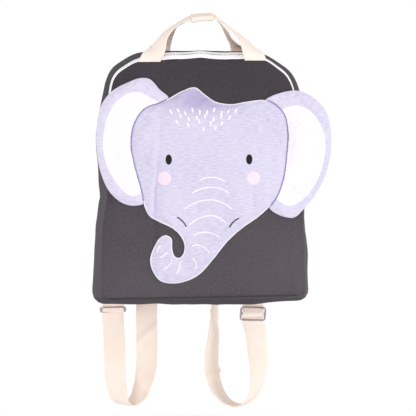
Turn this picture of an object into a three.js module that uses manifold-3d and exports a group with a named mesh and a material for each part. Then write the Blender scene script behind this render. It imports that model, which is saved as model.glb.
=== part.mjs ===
// A children's backpack with an elephant's head on its front, hanging by its carrying handles.
// Millimetres. +Z is up, -Y is the front, and +X is the right of someone who looks at the front.
// The origin is the middle of the handle keeper's underside, where a hook carries the bag.

import * as THREE from "three";
import { mergeVertices } from "three/addons/utils/BufferGeometryUtils.js";
import Module from "manifold-3d";

const solids = await Module();
solids.setup();

const { clamp, degToRad, lerp, smoothstep } = THREE.MathUtils;

// Driving dimensions
const BAG_DEPTH = 92;
const FRONT = -BAG_DEPTH / 2;
const BACK = BAG_DEPTH / 2;
const CANVAS = 2;
const GAP = 0.3;
const FRONT_CROWN = 12;
const BACK_CROWN = 4;
const CROWN_REACH = 62;
const SEAM_ALLOWANCE = 10;
const WEBBING_WIDTH = 25;
const WEBBING = 1.5;
const ZIP_TAPE = 1;
const ZIP_TAPE_WIDTH = 3.2;
const ZIP_COIL_WIDTH = 3.4;
const ZIP_COIL_HEIGHT = 2.2;
const FACE_PADDING = 3;
const FACE_EDGE = 1.2;
const EAR_PADDING = 5;
const EAR_EDGE = 1.6;
const PADDING_REACH = 12;
const EAR_LIFT = 4;
const EAR_STAND_OFF = 4;
const SLIDER = { width: 31, bar: 3, middleBar: 3.4, slot: 5, sideBar: 2.6, thickness: 1.8 };
const KEEPER = { from: -11, to: 14, wall: 1.2, tilt: degToRad(9) };
const ZIP_BODY = { width: 6.5, length: 11, thickness: 3, corner: 2.5 };
const ZIP_PULL = { width: 5.5, length: 26, thickness: 1.4, corner: 2.2, drop: 14 };
const ZIP_SLIDER_FROM_END = 0.22;
const ZIP_END_GAP = 0.004;
const STRAP_SEWN_LENGTH = 18;

// The seam loop, clockwise from the middle of the base as seen from the front. The front and back
// columns are the corners of the two panels' outlines, and cut is how far from a corner its round
// begins. bulge is how far the gusset swells outwards, crest is 1 where the swell rises straight
// from the front edge, and lip is high where it starts slowly.
const SEAM = [
  { name: "base_middle", front: [0, -318.8], back: [0, -319.5], cut: 0, bulge: 11, crest: 0, lip: 1.3 },
  {
    name: "base_left", front: [-116.8, -320.5], back: [-116.5, -320.5], cut: 12, bulge: 9, crest: 0,
    lip: 1.3,
  },
  { name: "under_buckle", front: [-115.8, -240], back: [-116, -240], cut: 20, bulge: 6, crest: 0, lip: 1.3 },
  { name: "buckle", front: [-109.8, -203], back: [-113, -206], cut: 14, bulge: 5.5, crest: 0, lip: 1.5 },
  { name: "zip_end_left", front: [-108, -130], back: [-110, -130], cut: 0, bulge: 11, crest: 0, lip: 2 },
  { name: "corner_left", front: [-105.3, -66.5], back: [-105, -60], cut: 16, bulge: 4.5, crest: 0, lip: 2 },
  { name: "shoulder_left", front: [-78, -47.3], back: [-73, -37.5], cut: 12, bulge: 4, crest: 0.2, lip: 2 },
  { name: "handle_left", front: [-48, -46.9], back: [-45, -37.3], cut: 0, bulge: 6.7, crest: 1, lip: 2 },
  { name: "top_middle", front: [-3, -44.4], back: [0, -37.2], cut: 0, bulge: 6.7, crest: 1, lip: 2 },
  { name: "top_dip", front: [27, -46.4], back: [30, -37.6], cut: 0, bulge: 6.7, crest: 1, lip: 2 },
  { name: "handle_right", front: [48, -45.3], back: [46, -38], cut: 0, bulge: 6.7, crest: 1, lip: 2 },
  { name: "shoulder_right", front: [73, -45.6], back: [68, -38.3], cut: 10, bulge: 4, crest: 0.2, lip: 2 },
  { name: "corner_right", front: [102.4, -69.5], back: [108, -62], cut: 15, bulge: 5, crest: 0, lip: 2 },
  { name: "zip_end_right", front: [108.4, -130], back: [112, -130], cut: 0, bulge: 11, crest: 0, lip: 2 },
  { name: "side_right", front: [114.8, -224], back: [115, -224], cut: 40, bulge: 6.5, crest: 0, lip: 1.3 },
  { name: "base_right", front: [117.3, -317], back: [117, -318], cut: 9, bulge: 8.5, crest: 0, lip: 1.3 },
];

// Folds of the front: a valley, or a ridge where depth is negative, along a leaning line
const FRONT_FOLDS = [
  { name: "long_crease", x: -52, z: -190, halfLength: 95, halfWidth: 9, lean: 2, depth: 2.2 },
  { name: "buckle", x: -110, z: -206, halfLength: 26, halfWidth: 11, lean: 64, depth: 4 },
  { name: "cheek_crease", x: 56, z: -205, halfLength: 24, halfWidth: 9, lean: -4, depth: 1.2 },
  { name: "lower_sag", x: 6, z: -262, halfLength: 70, halfWidth: 34, lean: 90, depth: -2 },
];

// The head's outline, clockwise from its top left corner
const HEAD = [
  { x: -39.5, z: -89.5 }, { x: -25, z: -81.5 }, { x: -10, z: -77.3 }, { x: 0, z: -84.6 },
  { x: 13, z: -93.5 }, { x: 30.5, z: -96.5 }, { x: 50, z: -93.5 }, { x: 70, z: -91.9 },
  { x: 80, z: -95.5 }, { x: 92.4, z: -108 }, { x: 96.9, z: -127.8 }, { x: 96, z: -150 },
  { x: 91.4, z: -182.6 }, { x: 82, z: -205.9 }, { x: 63.2, z: -224.6 }, { x: 44.5, z: -237.6 },
  { x: 27.1, z: -253 }, { x: 12.2, z: -271.6 }, { x: -5.2, z: -291.3 }, { x: -20, z: -299 },
  { x: -36.2, z: -301.7 }, { x: -50, z: -298.3 }, { x: -59, z: -286 }, { x: -61.6, z: -273.6 },
  { x: -57.8, z: -261 }, { x: -50, z: -248.5 }, { x: -43.6, z: -245.8 }, { x: -37.2, z: -249.5 },
  { x: -36.2, z: -262 }, { x: -33.5, z: -270 }, { x: -28, z: -271.6 }, { x: -23.5, z: -266.5 },
  { x: -22.6, z: -256.5 }, { x: -27, z: -246.8 }, { x: -36, z: -238.2 }, { x: -51, z: -230.9 },
  { x: -62, z: -224.3 }, { x: -68, z: -213 }, { x: -70.5, z: -198.4 }, { x: -79.8, z: -163.4 },
  { x: -83, z: -143 }, { x: -79.8, z: -119.4 }, { x: -68, z: -101.8 }, { x: -50.6, z: -94.8 },
];

// The ears' outlines, from the upper end of the root round the free edge. The root lies inside
// the head's outline.
const LEFT_EAR = [
  { x: -42, z: -98 }, { x: -40, z: -89.4 }, { x: -50.2, z: -79.9 }, { x: -61.2, z: -68.2 },
  { x: -71.7, z: -66.6 }, { x: -86, z: -71.5 }, { x: -105.1, z: -82.1 }, { x: -117, z: -98 },
  { x: -122, z: -122 }, { x: -122.4, z: -147 }, { x: -117.1, z: -176 }, { x: -106.7, z: -197.6 },
  { x: -92, z: -209.8 }, { x: -78, z: -212.3 }, { x: -66, z: -208 }, { x: -60, z: -190 },
  { x: -66, z: -150 }, { x: -58, z: -112 },
];
const RIGHT_EAR = [
  { x: 66, z: -98 }, { x: 69.8, z: -91.8 }, { x: 86, z: -84.4 }, { x: 107.2, z: -81.4 },
  { x: 125.9, z: -89.4 }, { x: 140, z: -105 }, { x: 146.4, z: -137 }, { x: 141.3, z: -173.2 },
  { x: 128.4, z: -200.1 }, { x: 114.4, z: -217.5 }, { x: 104, z: -226.6 }, { x: 88.6, z: -224.6 },
  { x: 74.6, z: -215 }, { x: 74, z: -200 }, { x: 84, z: -160 }, { x: 84, z: -120 },
];

// The handles' centre lines from the left foot to the right. face is the angle of the webbing's
// width about the vertical: 0 and 180 look to the front, 90 shows the edge. level is 1 where the
// webbing's threads are cut level, along the seam, and 0 where they are square to its run.
const FRONT_HANDLE = {
  left: [
    { x: -61.5, y: -45.2, z: -46.6, face: 0, level: 1 },
    { x: -58.2, y: -44.6, z: -41.4, face: -14, level: 0.8 },
    { x: -52.6, y: -40.5, z: -33.8, face: -42, level: 0.3 }, { x: -48.4, y: -34, z: -25, face: -66 },
    { x: -42.2, y: -26.5, z: -17, face: -78 }, { x: -33, y: -11.5, z: -8.9, face: -83 },
    { x: -24, y: -1.2, z: -1.9, face: -88 },
  ],
  right: [
    { x: 27, y: -1.2, z: -3.3, face: -92 }, { x: 35.5, y: -10.5, z: -11, face: -98 },
    { x: 43.2, y: -22, z: -18, face: -104 }, { x: 49.3, y: -33, z: -25.5, face: -117 },
    { x: 53.6, y: -40.2, z: -33.6, face: -138, level: 0.3 },
    { x: 58.2, y: -44.6, z: -40.8, face: -166, level: 0.8 },
    { x: 60, y: -45.2, z: -45, face: -180, level: 1 },
  ],
};
const BACK_HANDLE = {
  left: [
    { x: -45, y: 45.2, z: -36.8, face: 0, level: 1 },
    { x: -44.5, y: 44.2, z: -32.7, face: 8, level: 0.8 },
    { x: -42, y: 37, z: -27, face: 34, level: 0.2 }, { x: -37.8, y: 27, z: -20, face: 58 },
    { x: -31.5, y: 14.5, z: -12.3, face: 77 }, { x: -22.5, y: 2, z: -4.8, face: 87 },
  ],
  right: [
    { x: 24.5, y: 2, z: -5.8, face: 92 }, { x: 32, y: 15, z: -15, face: 96 },
    { x: 39.5, y: 29.5, z: -23.2, face: 108 }, { x: 46, y: 39, z: -29, face: 136, level: 0.3 },
    { x: 50.6, y: 44.2, z: -33.2, face: 168, level: 0.8 },
    { x: 52, y: 45.2, z: -37, face: 180, level: 1 },
  ],
};

// The shoulder straps' free runs, from where they leave the back panel to their sliders
const LEFT_STRAP = {
  top: { x: -42, z: -62 },
  run: [
    { x: -43, y: 57, z: -112, face: 0 }, { x: -47, y: 66, z: -170, face: 0 },
    { x: -52, y: 75, z: -240, face: 0 }, { x: -56.5, y: 82, z: -300, face: 0 },
    { x: -58.6, y: 85, z: -345, face: 0 }, { x: -58, y: 86, z: -382, face: -6 },
    { x: -58.4, y: 86, z: -410, face: -16 }, { x: -62.5, y: 84, z: -431, face: -34 },
    { x: -70, y: 80.5, z: -446, face: -52 }, { x: -80, y: 76, z: -452, face: -56 },
    { x: -89.6, y: 72, z: -447, face: -42 }, { x: -95.2, y: 70, z: -431, face: -16 },
    { x: -96.8, y: 69.5, z: -408, face: -4 }, { x: -97.4, y: 69.5, z: -380, face: 0 },
    { x: -98.6, y: 69, z: -362, face: 0 },
  ],
  slider: { x: -99.4, y: 58, z: -340.5, tilt: degToRad(68) },
  bottom: { x: -99, from: -318, to: -294 },
};
const RIGHT_STRAP = {
  top: { x: 40, z: -62 },
  run: [
    { x: 39.5, y: 57, z: -112, face: 0 }, { x: 36, y: 65, z: -170, face: 8 },
    { x: 29.5, y: 73, z: -240, face: 30 }, { x: 24.5, y: 78, z: -300, face: 62 },
    { x: 22, y: 80, z: -337, face: 74 }, { x: 21, y: 82, z: -357, face: 66 },
    { x: 20, y: 83, z: -378, face: 54 }, { x: 18, y: 84, z: -400, face: 42 },
    { x: 19, y: 84, z: -420, face: 44 }, { x: 26, y: 82.5, z: -438, face: 54 },
    { x: 38, y: 80, z: -450, face: 66 }, { x: 52, y: 76, z: -452.5, face: 66 },
    { x: 64.5, y: 71, z: -445, face: 58 }, { x: 72, y: 68, z: -430, face: 46 },
    { x: 73.6, y: 66.5, z: -412, face: 40 }, { x: 72, y: 66, z: -390, face: 20 },
    { x: 69.4, y: 65, z: -366, face: 4 },
  ],
  slider: { x: 66, y: 58, z: -346.5, tilt: degToRad(25) },
  bottom: { x: 66, from: -318, to: -294 },
};

// Smoothness of the faceted solids
const CORNER_STEPS = 3;
const STRAIGHT_STEP = 34;
const FRONT_GRID = 14;
const BACK_GRID = 28;
const OUTLINE_STEPS = 2;
const RUN_STEPS = 3;

// Materials, one for each cloth, webbing or metal
const canvas = new THREE.MeshStandardMaterial({ color: 0x4f494e, roughness: 0.95 });
const heather = new THREE.MeshStandardMaterial({ color: 0xd3cbe6, roughness: 0.95 });
const webbingCotton = new THREE.MeshStandardMaterial({ color: 0xf7ebdf, roughness: 0.9 });
const zipWhite = new THREE.MeshStandardMaterial({ color: 0xf3f1f2, roughness: 0.7 });
const plated = new THREE.MeshStandardMaterial({ color: 0xb9aeb2, roughness: 0.35, metalness: 1 });

const bag = new THREE.Group();

function addPart(name, geometry, material) {
  const mesh = new THREE.Mesh(geometry, material);
  mesh.name = name;
  bag.add(mesh);
  return mesh;
}

// Turns a closed geometry into a solid for cutting, and back
function toSolid(geometry) {
  const bare = geometry.clone();
  bare.deleteAttribute("normal");
  bare.deleteAttribute("uv");
  const welded = mergeVertices(bare, 1e-4);
  const mesh = new solids.Mesh({
    numProp: 3,
    vertProperties: new Float32Array(welded.attributes.position.array),
    triVerts: new Uint32Array(welded.index.array),
  });
  return new solids.Manifold(mesh);
}

function fromSolid(solid) {
  const mesh = solid.getMesh();
  const geometry = new THREE.BufferGeometry();
  geometry.setAttribute("position", new THREE.BufferAttribute(mesh.vertProperties, 3));
  geometry.setIndex(new THREE.BufferAttribute(mesh.triVerts, 1));
  geometry.computeVertexNormals();
  return geometry;
}

function closedGeometry(points, faces) {
  const geometry = new THREE.BufferGeometry().setFromPoints(points);
  let volume = 0;
  for (const [a, b, c] of faces) {
    volume += points[a].dot(points[b].clone().cross(points[c]));
  }
  const outward = volume > 0 ? faces : faces.map(([a, b, c]) => [a, c, b]);
  geometry.setIndex(outward.flat());
  geometry.computeVertexNormals();
  return geometry;
}

// A closed body through a row of rings. A ring has an even number of points, its first half along
// one face and its second half back along the other, so that its ends close as a strip and both
// faces are split into triangles alike.
function loft(rings) {
  const size = rings[0].length;
  const faces = [];
  for (let ring = 0; ring + 1 < rings.length; ring += 1) {
    for (let side = 0; side < size; side += 1) {
      const next = (side + 1) % size;
      const near = [ring * size + side, ring * size + next];
      const far = near.map((point) => point + size);
      if (side < size / 2) {
        faces.push([near[0], near[1], far[1]], [near[0], far[1], far[0]]);
      } else {
        faces.push([near[0], near[1], far[0]], [near[1], far[1], far[0]]);
      }
    }
  }
  const last = (rings.length - 1) * size;
  for (let side = 0; side + 1 < size / 2; side += 1) {
    const strip = [side, side + 1, size - 2 - side, size - 1 - side];
    faces.push([strip[0], strip[2], strip[1]], [strip[0], strip[3], strip[2]]);
    faces.push([last + strip[0], last + strip[1], last + strip[2]]);
    faces.push([last + strip[0], last + strip[2], last + strip[3]]);
  }
  return closedGeometry(rings.flat(), faces);
}

// The seam loop: a position is a row of SEAM plus how far along to the next row
const seamIndex = Object.fromEntries(SEAM.map((row, index) => [row.name, index]));

function seamRow(index) {
  return SEAM[((index % SEAM.length) + SEAM.length) % SEAM.length];
}

function cornerReach(index, toward, side) {
  const here = new THREE.Vector2(...seamRow(index)[side]);
  const there = new THREE.Vector2(...seamRow(index + toward)[side]);
  return Math.min(0.98, seamRow(index).cut / here.distanceTo(there));
}

function cornerPoint(index, side, turn) {
  const corner = new THREE.Vector2(...seamRow(index)[side]);
  const before = new THREE.Vector2(...seamRow(index - 1)[side]);
  const after = new THREE.Vector2(...seamRow(index + 1)[side]);
  const start = corner.clone().lerp(before, cornerReach(index, -1, side));
  const end = corner.clone().lerp(after, cornerReach(index, 1, side));
  return new THREE.QuadraticBezierCurve(start, corner, end).getPoint(turn);
}

function seamPoint(position, side) {
  const index = Math.floor(position);
  const along = position - index;
  const leaving = cornerReach(index, 1, side);
  const arriving = cornerReach(index + 1, -1, side);
  if (along < leaving) {
    return cornerPoint(index, side, 0.5 + (0.5 * along) / leaving);
  }
  if (along > 1 - arriving) {
    return cornerPoint(index + 1, side, (0.5 * (along - 1 + arriving)) / arriving);
  }
  const here = new THREE.Vector2(...seamRow(index)[side]);
  return here.lerp(new THREE.Vector2(...seamRow(index + 1)[side]), along);
}

function seamValue(position, column) {
  const index = Math.floor(position);
  const share = smoothstep(position - index, 0, 1);
  return lerp(seamRow(index)[column], seamRow(index + 1)[column], share);
}

function seamOutward(position) {
  const step = 0.004;
  const before = seamPoint(position - step, "front").add(seamPoint(position - step, "back"));
  const after = seamPoint(position + step, "front").add(seamPoint(position + step, "back"));
  const along = after.sub(before).normalize();
  return new THREE.Vector2(-along.y, along.x);
}

// Positions between two rows, closer together round the corners
function seamPositions(first, last) {
  const positions = [];
  for (let index = first; index < last; index += 1) {
    const leaving = cornerReach(index, 1, "front");
    const arriving = cornerReach(index + 1, -1, "front");
    const length = seamPoint(index, "front").distanceTo(seamPoint(index + 1, "front"));
    const straight = Math.max(1, Math.round((length * (1 - leaving - arriving)) / STRAIGHT_STEP));
    const pieces = [
      { from: 0, to: leaving, steps: seamRow(index).cut > 0 ? CORNER_STEPS : 0 },
      { from: leaving, to: 1 - arriving, steps: straight },
      { from: 1 - arriving, to: 1, steps: seamRow(index + 1).cut > 0 ? CORNER_STEPS : 0 },
    ];
    for (const piece of pieces) {
      for (let step = 0; step < piece.steps; step += 1) {
        positions.push(index + lerp(piece.from, piece.to, step / piece.steps));
      }
    }
  }
  positions.push(last);
  return positions;
}

// The gusset's swell at a share of the way from the front seam to the back seam
const ZIP_SHARE = 0.13;

function swell(position, share) {
  const side = Math.sin(Math.PI * share) ** seamValue(position, "lip");
  const rise = Math.sin((Math.PI / 2) * Math.min(1, share / ZIP_SHARE));
  const fall = 1 - (Math.max(0, share - ZIP_SHARE) / (1 - ZIP_SHARE)) ** 1.35;
  const top = Math.min(rise, fall);
  return seamValue(position, "bulge") * lerp(side, top, seamValue(position, "crest"));
}

function gussetPoint(position, y, inset) {
  const share = clamp((y - FRONT) / BAG_DEPTH, 0, 1);
  const middle = seamPoint(position, "front").lerp(seamPoint(position, "back"), share);
  middle.addScaledVector(seamOutward(position), swell(position, share) - inset);
  return new THREE.Vector3(middle.x, y, middle.y);
}

// A strip of the gusset between two depths, as a closed sheet
function gussetStrip(positions, fromY, toY, steps, thickness) {
  const rings = positions.map((position) => {
    const outer = [];
    const inner = [];
    for (let step = 0; step <= steps; step += 1) {
      const y = lerp(fromY, toY, step / steps);
      outer.push(gussetPoint(position, y, 0));
      inner.unshift(gussetPoint(position, y, thickness));
    }
    return [...outer, ...inner];
  });
  return loft(rings);
}

// Closed outlines and their distances
function smoothLoop(corners) {
  const points = corners.map(({ x, z }) => new THREE.Vector3(x, z, 0));
  const curve = new THREE.CatmullRomCurve3(points, true, "centripetal");
  const round = curve.getPoints(corners.length * OUTLINE_STEPS).slice(0, -1);
  return round.map(({ x, y }) => new THREE.Vector2(x, y));
}

function seamLoop(side) {
  const positions = seamPositions(0, SEAM.length).slice(0, -1);
  return positions.map((position) => seamPoint(position, side));
}

// Distance to a loop, positive inside it
function depthInside(loop, x, z) {
  const point = new THREE.Vector3(x, z, 0);
  const edge = new THREE.Line3();
  const nearest = new THREE.Vector3();
  let distance = Infinity;
  let inside = false;
  loop.forEach((a, index) => {
    const b = loop[(index + 1) % loop.length];
    edge.start.set(a.x, a.y, 0);
    edge.end.set(b.x, b.y, 0);
    edge.closestPointToPoint(point, true, nearest);
    distance = Math.min(distance, nearest.distanceTo(point));
    if (a.y > z !== b.y > z && x < a.x + ((b.x - a.x) * (z - a.y)) / (b.y - a.y)) {
      inside = !inside;
    }
  });
  return inside ? distance : -distance;
}

function grownLoop(loop, by) {
  const turn = THREE.ShapeUtils.isClockWise(loop) ? 1 : -1;
  return loop.map((point, index) => {
    const before = loop[(index + loop.length - 1) % loop.length];
    const after = loop[(index + 1) % loop.length];
    const along = after.clone().sub(before).normalize();
    return new THREE.Vector2(point.x - along.y * by * turn, point.y + along.x * by * turn);
  });
}

const frontLoop = seamLoop("front");
const backLoop = seamLoop("back");
const headLoop = smoothLoop(HEAD);

// A panel's swell, held flat by the seam allowance along its edge
function crown(depth, height) {
  const share = clamp(depth / CROWN_REACH, 0, 1);
  return height * (1 - (1 - share) ** 2) * smoothstep(depth, 0, SEAM_ALLOWANCE);
}

function foldDepth(x, z) {
  let depth = 0;
  for (const fold of FRONT_FOLDS) {
    const lean = degToRad(fold.lean);
    const dx = x - fold.x;
    const dz = z - fold.z;
    const along = (dz * Math.cos(lean) + dx * Math.sin(lean)) / fold.halfLength;
    const across = (dx * Math.cos(lean) - dz * Math.sin(lean)) / fold.halfWidth;
    depth += fold.depth * Math.exp(-(along ** 2) * 1.5 - across ** 2);
  }
  return depth;
}

function frontSurface(x, z) {
  const inside = depthInside(frontLoop, x, z);
  const held = smoothstep(inside, 0, SEAM_ALLOWANCE);
  return FRONT - crown(inside, FRONT_CROWN) + foldDepth(x, z) * held;
}

function backSurface(x, z) {
  return BACK + crown(depthInside(backLoop, x, z), BACK_CROWN);
}

// A sheet over a grid between two surfaces, cut to an outline
function gridSheet(loop, grid, near, far) {
  const box = new THREE.Box2().setFromPoints(loop);
  const firstColumn = Math.floor(box.min.x / grid) - 1;
  const lastColumn = Math.ceil(box.max.x / grid) + 1;
  const firstRow = Math.floor(box.min.y / grid) - 1;
  const lastRow = Math.ceil(box.max.y / grid) + 1;
  const rings = [];
  for (let column = firstColumn; column <= lastColumn; column += 1) {
    const nearFace = [];
    const farFace = [];
    for (let row = firstRow; row <= lastRow; row += 1) {
      const x = column * grid;
      const z = row * grid;
      nearFace.push(new THREE.Vector3(x, near(x, z), z));
      farFace.unshift(new THREE.Vector3(x, far(x, z), z));
    }
    rings.push([...nearFace, ...farFace]);
  }
  return toSolid(loft(rings));
}

function withoutStraightPoints(loop) {
  return loop.filter((point, index) => {
    const before = loop[(index + loop.length - 1) % loop.length];
    const after = loop[(index + 1) % loop.length];
    const turn = point.clone().sub(before).cross(after.clone().sub(point));
    return Math.abs(turn) > 0.01;
  });
}

function prism(loop) {
  const shape = new THREE.Shape(withoutStraightPoints(loop));
  const depth = 4 * BAG_DEPTH;
  const geometry = new THREE.ExtrudeGeometry(shape, { depth, bevelEnabled: false });
  geometry.rotateX(Math.PI / 2);
  geometry.translate(0, depth / 2, 0);
  return toSolid(geometry);
}

function cutSheet(loop, grid, near, far, removedLoop) {
  const sheet = gridSheet(loop, grid, near, far).intersect(prism(loop));
  return fromSolid(removedLoop ? sheet.subtract(prism(removedLoop)) : sheet);
}

// Thickness of padded cloth, thin at its edge
function padding(depth, edge, full) {
  const share = clamp(depth / PADDING_REACH, 0, 1);
  return lerp(edge, full, 1 - (1 - share) ** 2);
}

function addPanels() {
  addPart("front_panel", cutSheet(frontLoop, FRONT_GRID, frontSurface,
    (x, z) => frontSurface(x, z) + CANVAS), canvas);
  addPart("back_panel", cutSheet(backLoop, BACK_GRID, backSurface,
    (x, z) => backSurface(x, z) - CANVAS), canvas);
}

function addGussets() {
  const zipLeft = seamIndex.zip_end_left;
  const zipRight = seamIndex.zip_end_right;
  const insideFront = FRONT + CANVAS + GAP;
  const insideBack = BACK - CANVAS - GAP;
  const base = seamPositions(zipRight, zipLeft + SEAM.length);
  addPart("base_gusset", gussetStrip(base, insideFront, insideBack, 6, CANVAS), canvas);

  const top = seamPositions(zipLeft, zipRight);
  top[0] += ZIP_END_GAP;
  top[top.length - 1] -= ZIP_END_GAP;
  const frontTapeEnd = insideFront + ZIP_TAPE_WIDTH;
  const coilStart = frontTapeEnd + GAP;
  const coilEnd = coilStart + ZIP_COIL_WIDTH;
  const backTapeStart = coilEnd + GAP;
  const backTapeEnd = backTapeStart + ZIP_TAPE_WIDTH;
  addPart("zip_tape_front", gussetStrip(top, insideFront, frontTapeEnd, 1, ZIP_TAPE), zipWhite);
  addPart("zip_tape_back", gussetStrip(top, backTapeStart, backTapeEnd, 1, ZIP_TAPE), zipWhite);
  addPart("top_gusset", gussetStrip(top, backTapeEnd + GAP, insideBack, 5, CANVAS), canvas);
  addZipCoil(top, (coilStart + coilEnd) / 2);
  addZipSlider(zipRight - ZIP_SLIDER_FROM_END, (coilStart + coilEnd) / 2);
}

// The zip's teeth as one flattened cord
function addZipCoil(positions, y) {
  const sides = 6;
  const rings = positions.map((position) => {
    const outward = seamOutward(position);
    const centre = gussetPoint(position, y, ZIP_TAPE / 2);
    const ring = [];
    for (let side = 0; side < sides; side += 1) {
      const angle = (2 * Math.PI * (side + 0.5)) / sides;
      const out = (Math.sin(angle) * ZIP_COIL_HEIGHT) / 2;
      const across = (Math.cos(angle) / Math.cos(Math.PI / sides)) * (ZIP_COIL_WIDTH / 2);
      ring.push(new THREE.Vector3(centre.x + outward.x * out, y + across, centre.z + outward.y * out));
    }
    return ring;
  });
  addPart("zip_coil", loft(rings), zipWhite);
}

function roundedShape(width, height, corner) {
  const shape = new THREE.Shape();
  const x = width / 2;
  const y = height / 2;
  shape.absarc(x - corner, y - corner, corner, 0, Math.PI / 2);
  shape.absarc(corner - x, y - corner, corner, Math.PI / 2, Math.PI);
  shape.absarc(corner - x, corner - y, corner, Math.PI, 1.5 * Math.PI);
  shape.absarc(x - corner, corner - y, corner, 1.5 * Math.PI, 2 * Math.PI);
  return shape;
}

// The zip's slider with its pull, closed at the right end
function addZipSlider(position, y) {
  const [body, pull] = [ZIP_BODY, ZIP_PULL].map((piece) => new THREE.ExtrudeGeometry(
    roundedShape(piece.width, piece.length, piece.corner),
    { depth: piece.thickness, bevelEnabled: false, curveSegments: 3 }));
  pull.translate(0, -ZIP_PULL.drop, ZIP_BODY.thickness - ZIP_TAPE);
  const slider = fromSolid(toSolid(body).add(toSolid(pull)));
  const outward = seamOutward(position);
  const out = new THREE.Vector3(outward.x, 0, outward.y);
  const across = new THREE.Vector3(0, 1, 0);
  const up = new THREE.Vector3().crossVectors(out, across);
  const mesh = addPart("zip_slider", slider, plated);
  const clear = ZIP_COIL_HEIGHT / 2 + GAP;
  mesh.matrix.makeBasis(across, up, out).setPosition(gussetPoint(position, y, -clear));
  mesh.matrix.decompose(mesh.position, mesh.quaternion, mesh.scale);
}

// The head lies on the front panel and the ears stand off from it behind the head's edge
function addElephant() {
  const faceBack = (x, z) => frontSurface(x, z) - GAP;
  const faceFront = (x, z) =>
    faceBack(x, z) - padding(depthInside(headLoop, x, z), FACE_EDGE, FACE_PADDING);
  addPart("face_panel", cutSheet(headLoop, FRONT_GRID, faceFront, faceBack), heather);

  const clearOfHead = grownLoop(headLoop, GAP);
  const earBack = (x, z) => {
    const lift = EAR_LIFT * (clamp(-depthInside(headLoop, x, z), 0, 50) / 50) ** 2;
    return Math.min(faceBack(x, z), FRONT - EAR_STAND_OFF) - lift;
  };
  const ears = { left_ear: LEFT_EAR, right_ear: RIGHT_EAR };
  for (const [name, corners] of Object.entries(ears)) {
    const loop = smoothLoop(corners);
    const earFront = (x, z) => {
      const fromEdges = Math.min(depthInside(loop, x, z), -depthInside(headLoop, x, z));
      return earBack(x, z) - padding(fromEdges, EAR_EDGE, EAR_PADDING);
    };
    addPart(name, cutSheet(loop, FRONT_GRID, earFront, earBack, clearOfHead), heather);
  }
}

// Webbing along a row of stations, each with its centre and the angle of its width. Its two ends
// are cut level, and so are the threads at a station whose level is 1.
function webbing(stations) {
  const last = stations.length - 1;
  const rings = stations.map((station, index) => {
    const before = stations[Math.max(0, index - 1)].centre;
    const after = stations[Math.min(last, index + 1)].centre;
    const along = after.clone().sub(before).normalize();
    const level = index === 0 || index === last ? 1 : station.level ?? 0;
    along.lerp(new THREE.Vector3(0, 0, Math.sign(along.z)), level).normalize();
    const tilt = station.tilt ?? 0;
    const turn = degToRad(station.face);
    const across = new THREE.Vector3(
      Math.cos(turn), Math.sin(turn) * Math.cos(tilt), Math.sin(turn) * Math.sin(tilt));
    across.addScaledVector(along, -across.dot(along)).normalize();
    const out = new THREE.Vector3().crossVectors(along, across);
    const place = (side, layer) => station.centre.clone()
      .addScaledVector(across, (side * WEBBING_WIDTH) / 2)
      .addScaledVector(out, (layer * WEBBING) / 2);
    return [place(-1, 1), place(0, 1), place(1, 1), place(1, -1), place(0, -1), place(-1, -1)];
  });
  return loft(rings);
}

// Rows of a table joined by a smooth curve
function smoothRun(rows) {
  const points = rows.map(({ x, y, z }) => new THREE.Vector3(x, y, z));
  const curve = new THREE.CatmullRomCurve3(points, false, "centripetal");
  const steps = (rows.length - 1) * RUN_STEPS;
  const stations = [];
  for (let step = 0; step <= steps; step += 1) {
    const row = Math.min(rows.length - 2, Math.floor(step / RUN_STEPS));
    const share = step / RUN_STEPS - row;
    stations.push({
      centre: curve.getPoint(step / steps),
      face: lerp(rows[row].face, rows[row + 1].face, share),
      tilt: lerp(rows[row].tilt ?? 0, rows[row + 1].tilt ?? 0, share),
      level: lerp(rows[row].level ?? 0, rows[row + 1].level ?? 0, share),
    });
  }
  return stations;
}

// Both handles run straight through the keeper, the front one on top
function keeperRow(x, height, face) {
  return {
    x,
    y: -height * Math.sin(KEEPER.tilt),
    z: height * Math.cos(KEEPER.tilt),
    face,
    tilt: KEEPER.tilt,
  };
}

function addHandles() {
  const lower = KEEPER.wall + GAP + WEBBING / 2;
  const upper = lower + WEBBING + GAP;
  const handles = [
    { name: "handle_front", rows: FRONT_HANDLE, height: upper, face: -90 },
    { name: "handle_back", rows: BACK_HANDLE, height: lower, face: 90 },
  ];
  for (const { name, rows, height, face } of handles) {
    const held = [KEEPER.from - 3, KEEPER.from, KEEPER.to, KEEPER.to + 3];
    const middle = held.map((x) => keeperRow(x, height, face));
    addPart(name, webbing(smoothRun([...rows.left, ...middle, ...rows.right])), webbingCotton);
  }
  const holeWidth = WEBBING_WIDTH + 4 * GAP;
  const holeHeight = upper + WEBBING / 2 + GAP - KEEPER.wall;
  const outline = roundedShape(holeWidth + 2 * KEEPER.wall, holeHeight + 2 * KEEPER.wall, 2);
  outline.holes.push(roundedShape(holeWidth, holeHeight, 0.4));
  const keeper = new THREE.ExtrudeGeometry(outline,
    { depth: KEEPER.to - KEEPER.from, bevelEnabled: false, curveSegments: 3 });
  const axes = new THREE.Matrix4().makeBasis(
    new THREE.Vector3(0, 1, 0), new THREE.Vector3(0, 0, 1), new THREE.Vector3(1, 0, 0));
  keeper.applyMatrix4(axes);
  keeper.translate(KEEPER.from, 0, KEEPER.wall + holeHeight / 2);
  const mesh = addPart("handle_keeper", keeper, webbingCotton);
  mesh.rotation.x = KEEPER.tilt;
}

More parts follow.
